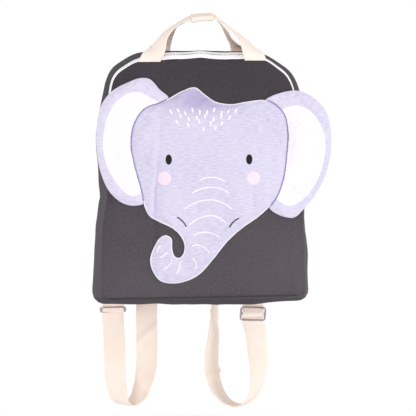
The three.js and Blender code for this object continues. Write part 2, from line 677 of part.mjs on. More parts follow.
// The webbing's way through a slider: behind both outer bars and in front of the middle one
function sliderRows(slider) {
  const middle = SLIDER.middleBar / 2;
  const outer = middle + SLIDER.slot;
  const end = outer + SLIDER.bar + 1.5;
  const behind = SLIDER.thickness / 2 + WEBBING;
  const way = [
    { height: -end, out: behind }, { height: -outer, out: behind },
    { height: -middle, out: -behind }, { height: middle, out: -behind },
    { height: outer, out: behind }, { height: end, out: behind },
  ];
  const sin = Math.sin(slider.tilt);
  const cos = Math.cos(slider.tilt);
  return way.map(({ height, out }) => ({
    centre: new THREE.Vector3(
      slider.x, slider.y - height * sin + out * cos, slider.z + height * cos + out * sin),
    face: 0,
  }));
}

function seatedOnBack(x, z, face) {
  return { x, y: backSurface(x, z) + GAP + WEBBING / 2, z, face };
}

function addShoulderStrap(side, strap) {
  const top = [
    seatedOnBack(strap.top.x, strap.top.z, 0),
    seatedOnBack(strap.top.x, strap.top.z - STRAP_SEWN_LENGTH, 0),
  ];
  const inwards = strap.bottom.x - Math.sign(strap.bottom.x) * (WEBBING_WIDTH / 2);
  const sewn = seatedOnBack(inwards, strap.bottom.to, 0);
  const bottom = [strap.bottom.from, strap.bottom.to].map((z) => ({
    centre: new THREE.Vector3(strap.bottom.x, sewn.y, z),
    face: 0,
  }));
  const stations = [...smoothRun([...top, ...strap.run]), ...sliderRows(strap.slider), ...bottom];
  addPart(`${side}_shoulder_strap`, webbing(stations), webbingCotton);
  addSlider(`${side}_slider`, strap.slider);
}

// A metal slider: a frame with a bar across its middle
function addSlider(name, place) {
  const height = 2 * (SLIDER.bar + SLIDER.slot) + SLIDER.middleBar;
  const outline = roundedShape(SLIDER.width, height, 2.4);
  for (const side of [-1, 1]) {
    const slot = roundedShape(SLIDER.width - 2 * SLIDER.sideBar, SLIDER.slot, 0.5);
    const shift = (side * (SLIDER.middleBar + SLIDER.slot)) / 2;
    const corners = slot.getPoints(2).map(({ x, y }) => new THREE.Vector2(x, y + shift));
    outline.holes.push(new THREE.Path(corners));
  }
  const frame = new THREE.ExtrudeGeometry(outline,
    { depth: SLIDER.thickness, bevelEnabled: false, curveSegments: 3 });
  frame.translate(0, 0, -SLIDER.thickness / 2);
  const mesh = addPart(name, frame, plated);
  mesh.position.set(place.x, place.y, place.z);
  mesh.rotation.x = Math.PI / 2 + place.tilt;
}

addPanels();
addGussets();
addElephant();
addHandles();
addShoulderStrap("left", LEFT_STRAP);
addShoulderStrap("right", RIGHT_STRAP);

export default bag;
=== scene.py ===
"""A children's backpack with an elephant's head, dressed in its cloth, webbing, zip and metal.

Lengths are in millimetres up to the moment when a piece is made, and in metres from there on.
+Z is up, -Y is the front, and the origin is the middle of the handle keeper's underside.
"""

import bmesh
import bpy
import math
import numpy as np
from mathutils import Matrix, Vector, noise
from mathutils.bvhtree import BVHTree


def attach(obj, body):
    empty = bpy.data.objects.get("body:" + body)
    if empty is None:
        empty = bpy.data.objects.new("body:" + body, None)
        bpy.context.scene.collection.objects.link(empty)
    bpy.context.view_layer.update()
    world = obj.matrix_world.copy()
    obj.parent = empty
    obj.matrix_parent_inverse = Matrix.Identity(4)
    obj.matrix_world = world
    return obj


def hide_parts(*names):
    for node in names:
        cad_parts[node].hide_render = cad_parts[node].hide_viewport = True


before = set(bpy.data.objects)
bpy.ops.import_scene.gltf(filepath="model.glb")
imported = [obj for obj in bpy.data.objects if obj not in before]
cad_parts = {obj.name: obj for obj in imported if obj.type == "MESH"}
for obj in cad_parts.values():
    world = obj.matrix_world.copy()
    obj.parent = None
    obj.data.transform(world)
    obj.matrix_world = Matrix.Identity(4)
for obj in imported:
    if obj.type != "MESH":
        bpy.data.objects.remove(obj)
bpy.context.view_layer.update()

MM = 0.001

# Driving dimensions, the same as the solids'
BAG_DEPTH = 92.0
FRONT = -BAG_DEPTH / 2
BACK = BAG_DEPTH / 2
CANVAS = 1.6
GAP = 0.3
FRONT_CROWN = 12.0
BACK_CROWN = 4.0
CROWN_REACH = 62.0
SEAM_ALLOWANCE = 10.0
WEBBING_WIDTH = 25.0
WEBBING = 1.5
ZIP_SHARE = 0.13
ZIP_TAPE = 0.9
ZIP_LINES = {"front_tape": (-45.3, -39.4), "back_tape": (-37.6, -32.4), "coil": -38.5}
TOP_CANVAS_FROM = -34.4
TOOTH_PITCH = 1.7
FACE_PADDING = 3.0
FACE_EDGE = 1.2
EAR_PADDING = 5.0
EAR_EDGE = 1.6
PADDING_REACH = 12.0
EAR_LIFT = 4.0
EAR_LIFT_REACH = 50.0
EAR_STAND_OFF = 4.0
SLIDER = {"width": 31.0, "bar": 3.0, "middle": 3.4, "slot": 5.0, "thickness": 1.8, "wire": 2.2}
KEEPER = {"from": -11.0, "to": 14.0, "wall": 1.2, "tilt": math.radians(9), "droop": 2.2}

# The seam loop, clockwise from the middle of the base as seen from the front
SEAM = {
    "base_middle": dict(front=(0, -318.8), back=(0, -319.5), cut=0, bulge=11, crest=0, lip=1.3),
    "base_left": dict(front=(-116.8, -320.5), back=(-116.5, -320.5), cut=6, bulge=9, crest=0, lip=1.3),
    "under_buckle": dict(front=(-115.8, -240), back=(-116, -240), cut=20, bulge=6, crest=0, lip=1.3),
    "buckle": dict(front=(-109.8, -203), back=(-113, -206), cut=14, bulge=5.5, crest=0, lip=1.5),
    "zip_end_left": dict(front=(-108, -130), back=(-110, -130), cut=0, bulge=11, crest=0, lip=2),
    "corner_left": dict(front=(-105.3, -66.5), back=(-105, -60), cut=16, bulge=4.5, crest=0, lip=2),
    "shoulder_left": dict(front=(-78, -47.3), back=(-73, -37.5), cut=12, bulge=4, crest=0.2, lip=2),
    "handle_left": dict(front=(-48, -46.9), back=(-45, -37.3), cut=0, bulge=6.7, crest=1, lip=2),
    "top_middle": dict(front=(-3, -44.4), back=(0, -37.2), cut=0, bulge=6.7, crest=1, lip=2),
    "top_dip": dict(front=(27, -46.4), back=(30, -37.6), cut=0, bulge=6.7, crest=1, lip=2),
    "handle_right": dict(front=(48, -45.3), back=(46, -38), cut=0, bulge=6.7, crest=1, lip=2),
    "shoulder_right": dict(front=(73, -45.6), back=(68, -38.3), cut=10, bulge=4, crest=0.2, lip=2),
    "corner_right": dict(front=(102.4, -69.5), back=(108, -62), cut=15, bulge=5, crest=0, lip=2),
    "zip_end_right": dict(front=(108.4, -130), back=(112, -130), cut=0, bulge=11, crest=0, lip=2),
    "side_right": dict(front=(114.8, -224), back=(115, -224), cut=40, bulge=6.5, crest=0, lip=1.3),
    "base_right": dict(front=(117.3, -317), back=(117, -318), cut=5, bulge=8.5, crest=0, lip=1.3),
}
SEAM_ROWS = list(SEAM.values())
SEAM_AT = {name: index for index, name in enumerate(SEAM)}

# Folds of the front: a valley, or a ridge where depth is negative, along a leaning line
FRONT_FOLDS = [
    dict(name="long_crease", x=-52, z=-190, half_length=95, half_width=9, lean=2, depth=2.2),
    dict(name="buckle", x=-110, z=-206, half_length=26, half_width=11, lean=64, depth=4),
    dict(name="cheek_crease", x=56, z=-205, half_length=24, half_width=9, lean=-4, depth=1.2),
    dict(name="lower_sag", x=6, z=-262, half_length=70, half_width=34, lean=90, depth=-2),
]
# Narrow creases inside them, which the solids leave out
FINE_FOLDS = [
    dict(name="crease_line", x=-53.5, z=-200, half_length=85, half_width=2.6, lean=2, depth=2.4),
    dict(name="crease_lip", x=-59.5, z=-196, half_length=80, half_width=3.6, lean=3, depth=-1.5),
    dict(name="cheek_line", x=56, z=-207, half_length=20, half_width=2.4, lean=-3, depth=1.3),
    dict(name="side_ridge", x=-107, z=-240, half_length=42, half_width=4, lean=6, depth=-1.4),
    dict(name="low_fold_left", x=-88, z=-262, half_length=50, half_width=9, lean=24, depth=0.9),
    dict(name="low_fold_right", x=92, z=-262, half_length=52, half_width=8, lean=-14, depth=0.9),
    dict(name="right_side_fold", x=103, z=-262, half_length=60, half_width=5, lean=-4, depth=-1.2),
    dict(name="under_trunk", x=8, z=-303, half_length=60, half_width=5, lean=86, depth=0.8),
    dict(name="brow_pull", x=20, z=-66, half_length=44, half_width=9, lean=82, depth=0.9),
    dict(name="brow_ridge", x=-34, z=-66, half_length=30, half_width=8, lean=58, depth=-0.8),
]

# The slow swells of each cloth, added up: how high, how far apart, and which noise
SWELLS = {
    "front": [dict(height=0.9, size=46, seed=1), dict(height=0.3, size=17, seed=2)],
    "back": [dict(height=0.7, size=52, seed=5)],
    "gusset": [dict(height=1.1, size=38, seed=7), dict(height=0.4, size=14, seed=8)],
    "ear": [dict(height=0.8, size=34, seed=14)],
}
# The gathers that the stitches pull along each cloth's edge
PUCKERS = {
    "front": dict(height=0.7, seed=4), "back": dict(height=0.6, seed=6),
    "face": dict(height=0.8, seed=11), "ear": dict(height=1.1, seed=15),
}
PUCKER_SIZE = 9
PUCKER_REACH = 7

# The head's outline, clockwise from its top left corner
HEAD = [
    (-39.5, -89.5), (-25, -81.5), (-10, -77.3), (0, -84.6), (13, -93.5), (30.5, -96.5),
    (50, -93.5), (70, -91.9), (80, -95.5), (92.4, -108), (96.9, -127.8), (96, -150),
    (91.4, -182.6), (82, -205.9), (63.2, -224.6), (44.5, -237.6), (27.1, -253), (12.2, -271.6),
    (-5.2, -291.3), (-20, -299), (-36.2, -301.7), (-50, -298.3), (-59, -286), (-61.6, -273.6),
    (-57.8, -261), (-50, -248.5), (-43.6, -245.8), (-37.2, -249.5), (-36.2, -262),
    (-33.5, -270), (-28, -271.6), (-23.5, -266.5), (-22.6, -256.5), (-27, -246.8),
    (-36, -238.2), (-51, -230.9), (-62, -224.3), (-68, -213), (-70.5, -198.4),
    (-79.8, -163.4), (-83, -143), (-79.8, -119.4), (-68, -101.8), (-50.6, -94.8),
]
# The ears' outlines, from the upper end of the root round the free edge, and the white insides
LEFT_EAR = [
    (-42, -98), (-40, -89.4), (-50.2, -79.9), (-61.2, -68.2), (-71.7, -66.6), (-86, -71.5),
    (-105.1, -82.1), (-117, -98), (-122, -122), (-122.4, -147), (-117.1, -176),
    (-106.7, -197.6), (-92, -209.8), (-78, -212.3), (-66, -208), (-60, -190), (-66, -150),
    (-58, -112),
]
LEFT_EAR_INSIDE = [
    (-50, -97), (-61, -89.5), (-72, -83.5), (-84, -83.2), (-98.3, -92.5), (-108, -107),
    (-114, -130), (-114.6, -150), (-110, -168), (-98.5, -187.7), (-86, -200), (-76, -200),
    (-64, -185), (-60, -140),
]
RIGHT_EAR = [
    (66, -98), (69.8, -91.8), (86, -84.4), (107.2, -81.4), (125.9, -89.4), (140, -105),
    (146.4, -137), (141.3, -173.2), (128.4, -200.1), (114.4, -217.5), (104, -226.6),
    (88.6, -224.6), (74.6, -215), (74, -200), (84, -160), (84, -120),
]
RIGHT_EAR_INSIDE = [
    (80, -112), (92, -101.6), (106, -98.4), (118, -101.8), (130, -113.5), (138.4, -133),
    (138.6, -154), (134, -175), (124, -194), (112, -207), (100, -212.9), (88, -209),
    (78, -196), (76, -150),
]

# The handles' centre lines. face is the angle of the webbing's width about the vertical: 0 and
# 180 look to the front, 90 shows the edge. level is 1 where its threads are cut level.
FRONT_HANDLE = {
    "left": [
        dict(x=-61.5, y=-45.2, z=-48.5, face=0, level=1),
        dict(x=-58.2, y=-44.6, z=-41.4, face=-14, level=0.8),
        dict(x=-52.6, y=-40.5, z=-33.8, face=-42, level=0.3), dict(x=-48.4, y=-34, z=-25, face=-66),
        dict(x=-42.2, y=-26.5, z=-17, face=-78), dict(x=-33, y=-11.5, z=-8.9, face=-82),
        dict(x=-24, y=-1.2, z=-3.2, face=-84),
    ],
    "right": [
        dict(x=27, y=-1.2, z=-3.3, face=-92), dict(x=35.5, y=-10.5, z=-11, face=-98),
        dict(x=43.2, y=-22, z=-18, face=-104), dict(x=49.3, y=-33, z=-25.5, face=-117),
        dict(x=53.6, y=-40.2, z=-33.6, face=-138, level=0.3),
        dict(x=58.2, y=-44.6, z=-40.8, face=-166, level=0.8),
        dict(x=60, y=-45.2, z=-47, face=-180, level=1),
    ],
}
BACK_HANDLE = {
    "left": [
        dict(x=-45, y=45.2, z=-38.5, face=0, level=1),
        dict(x=-44.5, y=44.2, z=-32.7, face=8, level=0.8),
        dict(x=-42, y=37, z=-27, face=34, level=0.2), dict(x=-38.4, y=27, z=-19.5, face=58),
        dict(x=-33, y=14.5, z=-11.6, face=77), dict(x=-22.5, y=2, z=-4.6, face=86),
    ],
    "right": [
        dict(x=24.5, y=2, z=-6.4, face=88), dict(x=32, y=15, z=-15.6, face=87),
        dict(x=39.5, y=29.5, z=-23.8, face=94), dict(x=46, y=39, z=-29.6, face=124, level=0.3),
        dict(x=50.6, y=44.2, z=-33.6, face=162, level=0.8),
        dict(x=52, y=45.2, z=-39, face=180, level=1),
    ],
}
# The shoulder straps, from where they leave the back panel to their sliders
LEFT_STRAP = {
    "top": (-42, -62),
    "run": [
        dict(x=-43, y=57, z=-112, face=0), dict(x=-47, y=66, z=-170, face=0),
        dict(x=-52, y=75, z=-240, face=0), dict(x=-56.5, y=82, z=-300, face=0),
        dict(x=-58.6, y=85, z=-345, face=0), dict(x=-58, y=86, z=-382, face=-6),
        dict(x=-58.4, y=86, z=-410, face=-16), dict(x=-62.5, y=84, z=-431, face=-34),
        dict(x=-70, y=80.5, z=-449, face=-52), dict(x=-80, y=76, z=-455.5, face=-56),
        dict(x=-89.6, y=72, z=-450.5, face=-42), dict(x=-95.2, y=70, z=-432, face=-16),
        dict(x=-96.8, y=69.5, z=-408, face=-4), dict(x=-97.4, y=69.5, z=-380, face=0),
        dict(x=-98.6, y=69, z=-362, face=0),
    ],
    "slider": dict(x=-99.4, y=58, z=-340.5, tilt=math.radians(68), roll=math.radians(5)),
    "bottom": (-99, -318, -294),
}
RIGHT_STRAP = {
    "top": (40, -62),
    "run": [
        dict(x=39.5, y=57, z=-112, face=0), dict(x=36, y=65, z=-170, face=8),
        dict(x=29.5, y=73, z=-240, face=30), dict(x=24.5, y=78, z=-300, face=62),
        dict(x=22, y=80, z=-337, face=74), dict(x=21, y=82, z=-357, face=66),
        dict(x=20, y=83, z=-378, face=54), dict(x=18, y=84, z=-400, face=42),
        dict(x=19, y=84, z=-421, face=44), dict(x=26, y=82.5, z=-441, face=54),
        dict(x=38, y=80, z=-454.5, face=66), dict(x=52, y=76, z=-458, face=66),
        dict(x=64.5, y=71, z=-450, face=58), dict(x=72, y=68, z=-432, face=46),
        dict(x=73.6, y=66.5, z=-412, face=40), dict(x=72, y=66, z=-390, face=20),
        dict(x=69.4, y=65, z=-366, face=4),
    ],
    "slider": dict(x=66, y=58, z=-346.5, tilt=math.radians(25), roll=math.radians(-2)),
    "bottom": (66, -318, -294),
}

# The face's print: eyes and cheeks by their middles, and each line by its two ends and its middle
EYES = [(-40.5, -159.5), (51.4, -159.4)]
EYE_HALF = (3.65, 5.9)
CHEEKS = [(-45.4, -181.0), (56.4, -180.8)]
CHEEK_RADIUS = 7.7
WHITE_LINES = [
    [(-4.7, -183.0), (8.0, -179.6), (23.9, -184.2)], [(-13.8, -197.8), (8.0, -191.0), (28.4, -197.8)],
    [(-23.0, -216.0), (6.0, -205.4), (31.9, -216.2)], [(-17.3, -234.2), (5.4, -223.6), (25.0, -232.2)],
    [(-12.7, -246.8), (2.1, -242.4), (17.0, -248.2)], [(-13.9, -258.2), (-3.6, -258.0), (6.7, -266.4)],
    [(-13.9, -271.9), (-9.3, -277.7), (-10.4, -286.8)], [(-27.6, -276.4), (-28.4, -283.3), (-32.2, -290.1)],
    [(-36.7, -273.0), (-40.1, -280.4), (-46.4, -285.0)], [(-50.6, -271.4), (-45.8, -268.6), (-42.4, -264.9)],
    [(-49.3, -257.4), (-52.7, -261.5), (-53.6, -266.4)],
]
BLACK_LINES = [
    [(-31.4, -225.1), (-25.0, -229.6), (-20.2, -236.3)], [(40.0, -226.6), (33.4, -230.8), (28.8, -237.3)],
]
LINE_WIDTH = {"white": 1.5, "black": 1.4}
# The short strokes on the forehead, in four rows that fan out
HAIR_ROWS = [
    dict(z=-105.0, first=-38, last=36, count=10), dict(z=-112.0, first=-27, last=29, count=7),
    dict(z=-118.0, first=-31, last=20, count=5), dict(z=-123.5, first=-1, last=13, count=2),
]
HAIR = {"width": 2.1, "length": 5.6, "fan": 0.6, "half_span": 37.0}


# ---- Curves and the seam -------------------------------------------------------------------


def smooth_curve(points, steps, closed):
    """A centripetal curve through points, with steps pieces between each two of them."""
    points = np.asarray(points, float)
    count = len(points)
    made = []
    for i in range(count if closed else count - 1):
        if closed:
            p0, p1, p2, p3 = (points[(i + k) % count] for k in (-1, 0, 1, 2))
        else:
            p1, p2 = points[i], points[i + 1]
            p0 = points[i - 1] if i else 2 * p1 - p2
            p3 = points[i + 2] if i + 2 < count else 2 * p2 - p1
        knots = np.cumsum([0] + [math.sqrt(max(np.linalg.norm(b - a), 1e-6))
                                 for a, b in ((p0, p1), (p1, p2), (p2, p3))])
        t = knots[1] + (knots[2] - knots[1]) * (np.arange(steps) / steps)[:, None]

        def between(a, b, low, high):
            return a * (high - t) / (high - low) + b * (t - low) / (high - low)

        a1 = between(p0, p1, knots[0], knots[1])
        a2 = between(p1, p2, knots[1], knots[2])
        a3 = between(p2, p3, knots[2], knots[3])
        b1 = between(a1, a2, knots[0], knots[2])
        b2 = between(a2, a3, knots[1], knots[3])
        made.append(between(b1, b2, knots[1], knots[2]))
    if not closed:
        made.append(points[-1:])
    return np.concatenate(made)


def arc_through(points, steps):
    """An even arc through two ends and the middle between them."""
    start, middle, end = (np.array(point, float) for point in points)
    share = np.linspace(0, 1, steps)[:, None]
    pull = 2 * middle - (start + end) / 2
    return start * (1 - share) ** 2 + pull * 2 * share * (1 - share) + end * share ** 2


def run_lengths(points):
    """The length from the first point to each point of a line."""
    return np.concatenate([[0], np.cumsum(np.linalg.norm(np.diff(points, axis=0), axis=1))])


def smoothstep(value, low, high):
    share = np.clip((value - low) / (high - low), 0, 1)
    return share * share * (3 - 2 * share)


def corner_reach(index, toward, side):
    here, there = (np.array(SEAM_ROWS[i % len(SEAM_ROWS)][side]) for i in (index, index + toward))
    return min(0.98, SEAM_ROWS[index % len(SEAM_ROWS)]["cut"] / np.linalg.norm(there - here))


def corner_point(index, side, turn):
    before, corner, after = (np.array(SEAM_ROWS[(index + k) % len(SEAM_ROWS)][side], float)
                             for k in (-1, 0, 1))
    start = corner + (before - corner) * corner_reach(index, -1, side)
    end = corner + (after - corner) * corner_reach(index, 1, side)
    return start * (1 - turn) ** 2 + corner * 2 * turn * (1 - turn) + end * turn ** 2


def seam_point(position, side):
    index = math.floor(position)
    along = position - index
    leaving, arriving = corner_reach(index, 1, side), corner_reach(index + 1, -1, side)
    if along < leaving:
        return corner_point(index, side, 0.5 + 0.5 * along / leaving)
    if along > 1 - arriving:
        return corner_point(index + 1, side, 0.5 * (along - 1 + arriving) / arriving)
    here, there = (np.array(SEAM_ROWS[i % len(SEAM_ROWS)][side], float) for i in (index, index + 1))
    return here + (there - here) * along


SEAM_SAMPLES = 48
POSITIONS = np.arange(0, 2 * len(SEAM) + 1, 1 / SEAM_SAMPLES)


def make_track():
    """The seam loop in close steps: both seams, the way outwards and the table's other columns."""
    made = {side: np.array([seam_point(p, side) for p in POSITIONS]) for side in ("front", "back")}
    along = np.gradient(made["front"] + made["back"], axis=0)
    along /= np.linalg.norm(along, axis=1)[:, None]
    made["outward"] = np.stack([-along[:, 1], along[:, 0]], axis=1)
    index = np.floor(POSITIONS).astype(int)
    share = smoothstep(POSITIONS - index, 0, 1)
    for column in ("bulge", "crest", "lip"):
        values = np.array([row[column] for row in SEAM_ROWS], float)
        made[column] = values[index % len(SEAM)] * (1 - share) + values[(index + 1) % len(SEAM)] * share
    made["length"] = run_lengths(made["front"])
    return made


TRACK = make_track()


def track(position, column):
    """A column of the seam loop at positions along it."""
    values = TRACK[column]
    if values.ndim == 1:
        return np.interp(position, POSITIONS, values)
    return np.stack([np.interp(position, POSITIONS, values[:, k]) for k in range(2)], axis=-1)


def seam_loop(side):
    return TRACK[side][: len(SEAM) * SEAM_SAMPLES : 3]


def even_positions(first, last, count):
    """Positions an even length of cloth apart."""
    lengths = np.linspace(track(first, "length"), track(last, "length"), count)
    return np.interp(lengths, TRACK["length"], POSITIONS)


def positions_between(first, last, share):
    """Positions at shares of the cloth's length between two others, with their lengths."""
    start, end = track(first, "length"), track(last, "length")
    lengths = start + (end - start) * share
    return np.interp(lengths, TRACK["length"], POSITIONS), lengths


def gusset_point(position, y, out):
    """A point of the gusset, out beyond its surface."""
    share = np.clip((y - FRONT) / BAG_DEPTH, 0, 1)
    middle = track(position, "front") * (1 - share)[:, None] + track(position, "back") * share[:, None]
    side = np.sin(np.pi * share) ** track(position, "lip")
    rise = np.sin(np.pi / 2 * np.minimum(1, share / ZIP_SHARE))
    fall = 1 - (np.maximum(0, share - ZIP_SHARE) / (1 - ZIP_SHARE)) ** 1.35
    crest = track(position, "crest")
    swell = track(position, "bulge") * (side * (1 - crest) + np.minimum(rise, fall) * crest)
    moved = middle + track(position, "outward") * (swell + out)[:, None]
    return np.stack([moved[:, 0], y, moved[:, 1]], axis=1)


def depth_inside(loop, x, z):
    """Distance to a loop, positive inside it."""
    start, end = loop, np.roll(loop, -1, axis=0)
    edge = end - start
    squared = np.maximum((edge ** 2).sum(1), 1e-12)
    depths = np.empty(len(x))
    for low in range(0, len(x), 4000):
        px, pz = x[low:low + 4000, None], z[low:low + 4000, None]
        dx, dz = px - start[:, 0], pz - start[:, 1]
        t = np.clip((dx * edge[:, 0] + dz * edge[:, 1]) / squared, 0, 1)
        near = np.hypot(dx - t * edge[:, 0], dz - t * edge[:, 1]).min(1)
        crosses = (start[:, 1] > pz) != (end[:, 1] > pz)
        slope = np.where(edge[:, 1] == 0, 1e-9, edge[:, 1])
        inside = (crosses & (px < start[:, 0] + edge[:, 0] * dz / slope)).sum(1) % 2 == 1
        depths[low:low + 4000] = np.where(inside, near, -near)
    return depths


def soft_noise(points, size, seed):
    """Smooth noise from about -1 to 1, with swells about size apart."""
    shift = Vector((seed * 17.3, seed * 5.1, seed * 9.7))
    return np.array([noise.noise(Vector(point) / size + shift) for point in points])


def flat_points(x, z):
    return np.stack([x, np.zeros(len(x)), z], axis=1)


def swells(points, cloth):
    return sum(row["height"] * soft_noise(points, row["size"], row["seed"]) for row in SWELLS[cloth])


FRONT_LOOP, BACK_LOOP = seam_loop("front"), seam_loop("back")
CURVE_STEPS = 8
HEAD_LOOP = smooth_curve(HEAD, CURVE_STEPS, True)
EAR_LOOPS = [smooth_curve(outline, CURVE_STEPS, True) for outline in (LEFT_EAR, RIGHT_EAR)]


def fold_depth(folds, x, z):
    depth = np.zeros(len(x))
    for fold in folds:
        lean = math.radians(fold["lean"])
        dx, dz = x - fold["x"], z - fold["z"]
        along = (dz * math.cos(lean) + dx * math.sin(lean)) / fold["half_length"]
        across = (dx * math.cos(lean) - dz * math.sin(lean)) / fold["half_width"]
        depth += fold["depth"] * np.exp(-1.5 * along ** 2 - across ** 2)
    return depth


def crown(depth, height):
    share = np.clip(depth / CROWN_REACH, 0, 1)
    return height * (1 - (1 - share) ** 2) * smoothstep(depth, 0, SEAM_ALLOWANCE)


def front_surface(x, z):
    inside = depth_inside(FRONT_LOOP, x, z)
    held = smoothstep(inside, 0, SEAM_ALLOWANCE)
    folds = fold_depth(FRONT_FOLDS, x, z) + fold_depth(FINE_FOLDS, x, z)
    return FRONT - crown(inside, FRONT_CROWN) + (folds + swells(flat_points(x, z), "front")) * held


def back_surface(x, z):
    return BACK + crown(depth_inside(BACK_LOOP, x, z), BACK_CROWN)


# ---- Making pieces -------------------------------------------------------------------------


def add_object(name, data):
    made = bpy.data.objects.new(name, data)
    bpy.context.scene.collection.objects.link(made)
    return made


def object_from(name, bm):
    """An object from a bmesh in metres."""
    mesh = bpy.data.meshes.new(name)
    bm.to_mesh(mesh)
    return add_object(name, mesh)


def finish_piece(name, bm, materials, replaces=()):
    """Turns a bmesh in metres into a smooth-shaded object that rides on the bag."""
    piece = object_from(name, bm)
    bm.free()
    piece.data.shade_smooth()
    for material in materials:
        piece.data.materials.append(material)
    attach(piece, "root")
    if replaces:
        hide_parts(*replaces)
    return piece


def set_places(bm, points):
    """Puts the vertices at points, given in millimetres."""
    for vertex, point in zip(bm.verts, points):
        vertex.co = Vector(point) * MM


def grid_shares(bm):
    """Each grid vertex's share of the way along and across."""
    places = np.array([vertex.co[:2] for vertex in bm.verts])
    return ((places - places.min(0)) / (places.max(0) - places.min(0))).T


def set_cloth_map(bm, along, across):
    """A UV map in metres of cloth."""
    layer = bm.loops.layers.uv.new("cloth")
    bm.verts.ensure_lookup_table()
    for face in bm.faces:
        for loop in face.loops:
            index = loop.vert.index
            loop[layer].uv = (along[index] * MM, across[index] * MM)


def turn_outwards(bm, middle):
    """Turns an open sheet's faces away from a point in millimetres."""
    bm.normal_update()
    centre = Vector(middle) * MM
    if sum(f.normal.dot(f.calc_center_median() - centre) * f.calc_area() for f in bm.faces) < 0:
        bmesh.ops.reverse_faces(bm, faces=bm.faces[:])


def with_thickness(piece, thickness):
    """Gives a sheet its thickness, inwards."""
    wall = piece.modifiers.new("cloth_thickness", "SOLIDIFY")
    wall.thickness = thickness * MM
    wall.offset = -1
    return piece


def grid_piece(columns, rows, place):
    """A grid of quads whose points come from place(along, across), with its map."""
    bm = bmesh.new()
    bmesh.ops.create_grid(bm, x_segments=columns, y_segments=rows, size=1)
    bm.verts.index_update()
    along, across = grid_shares(bm)
    points, map_along, map_across = place(along, across)
    set_cloth_map(bm, map_along, map_across)
    set_places(bm, points)
    return bm


# Vertices nearer than this become one, where a piece's ends meet
WEBBING_WELD, FINE_WELD, SLIDER_WELD, SOLID_WELD = 0.02, 0.005, 0.002, 0.01


def weld(bm, distance):
    bmesh.ops.remove_doubles(bm, verts=bm.verts[:], dist=distance * MM)


def close_tube(bm, distance):
    """Joins a rolled-up grid along its seam and caps both ends."""
    weld(bm, distance)
    bmesh.ops.holes_fill(bm, edges=[edge for edge in bm.edges if edge.is_boundary], sides=0)
    bmesh.ops.recalc_face_normals(bm, faces=bm.faces[:])


# ---- Materials -----------------------------------------------------------------------------


def linear(code):
    """An sRGB hex colour as Blender's linear one."""
    parts = [int(code[i:i + 2], 16) / 255 for i in (1, 3, 5)]
    return tuple(c / 12.92 if c <= 0.04045 else ((c + 0.055) / 1.055) ** 2.4 for c in parts) + (1,)


def add_node(tree, kind, settings=(), **sockets):
    """Adds a node, with its settings, and its sockets' values or links. in0 is its first socket."""
    node = tree.nodes.new(kind)
    for name, value in dict(settings).items():
        setattr(node, name, value)
    for name, value in sockets.items():
        key = int(name[2:]) if name[:2] == "in" and name[2:].isdigit() else name.replace("_", " ")
        socket = node.inputs[key]
        if isinstance(value, bpy.types.NodeSocket):
            tree.links.new(value, socket)
        else:
            socket.default_value = value
    return node


def new_material(name):
    """A material, its tree and its shader."""
    material = bpy.data.materials.new(name)
    material.use_nodes = True
    return material, material.node_tree, material.node_tree.nodes["Principled BSDF"]


def set_values(shader, **values):
    """Sets uniform values on a shader's sockets."""
    for name, value in values.items():
        shader.inputs[name.replace("_", " ")].default_value = value


def add_bump(tree, shader, strength, distance, height):
    """Relief on a shader's surface, where distance is in millimetres."""
    bump = add_node(tree, "ShaderNodeBump", Strength=strength, Distance=distance * MM, Height=height)
    tree.links.new(bump.outputs[0], shader.inputs["Normal"])


def cloth_coordinates(tree):
    return add_node(tree, "ShaderNodeUVMap", dict(uv_map="cloth")).outputs[0]


def object_coordinates(tree):
    return add_node(tree, "ShaderNodeTexCoord").outputs["Object"]


def mix(tree, factor, a, b):
    return add_node(tree, "ShaderNodeMix", dict(data_type="RGBA"), in0=factor, in6=a, in7=b).outputs[2]


def weighted(tree, first, first_share, second, second_share):
    """Two values added up by their shares."""
    return calculate(tree, "ADD", calculate(tree, "MULTIPLY", first, first_share),
                     calculate(tree, "MULTIPLY", second, second_share))


def calculate(tree, operation, a, b):
    return add_node(tree, "ShaderNodeMath", dict(operation=operation), in0=a, in1=b).outputs[0]


def ramp(tree, value, low, high, low_out=0.0, high_out=1.0):
    return add_node(tree, "ShaderNodeMapRange", dict(interpolation_type="SMOOTHSTEP", clamp=True),
                    in0=value, in1=low, in2=high, in3=low_out, in4=high_out).outputs[0]


def cloth_noise(tree, source, scale_along, scale_across, detail=2.0):
    """Noise stretched along the threads. The scales are swells per metre."""
    mapped = add_node(tree, "ShaderNodeMapping", in0=source, in3=(scale_along, scale_across, 1.0))
    return add_node(tree, "ShaderNodeTexNoise", dict(noise_dimensions="2D"), in0=mapped.outputs[0],
                    Scale=1.0, Detail=detail).outputs[0]


def thread_wave(tree, source, spacing, direction):
    """Bands one thread wide, where spacing is in millimetres."""
    return add_node(tree, "ShaderNodeTexWave", dict(bands_direction=direction, wave_profile="SIN"),
                    in0=source, Scale=math.pi / 10 / (spacing * MM), Distortion=0.6, Detail=1.0).outputs[1]


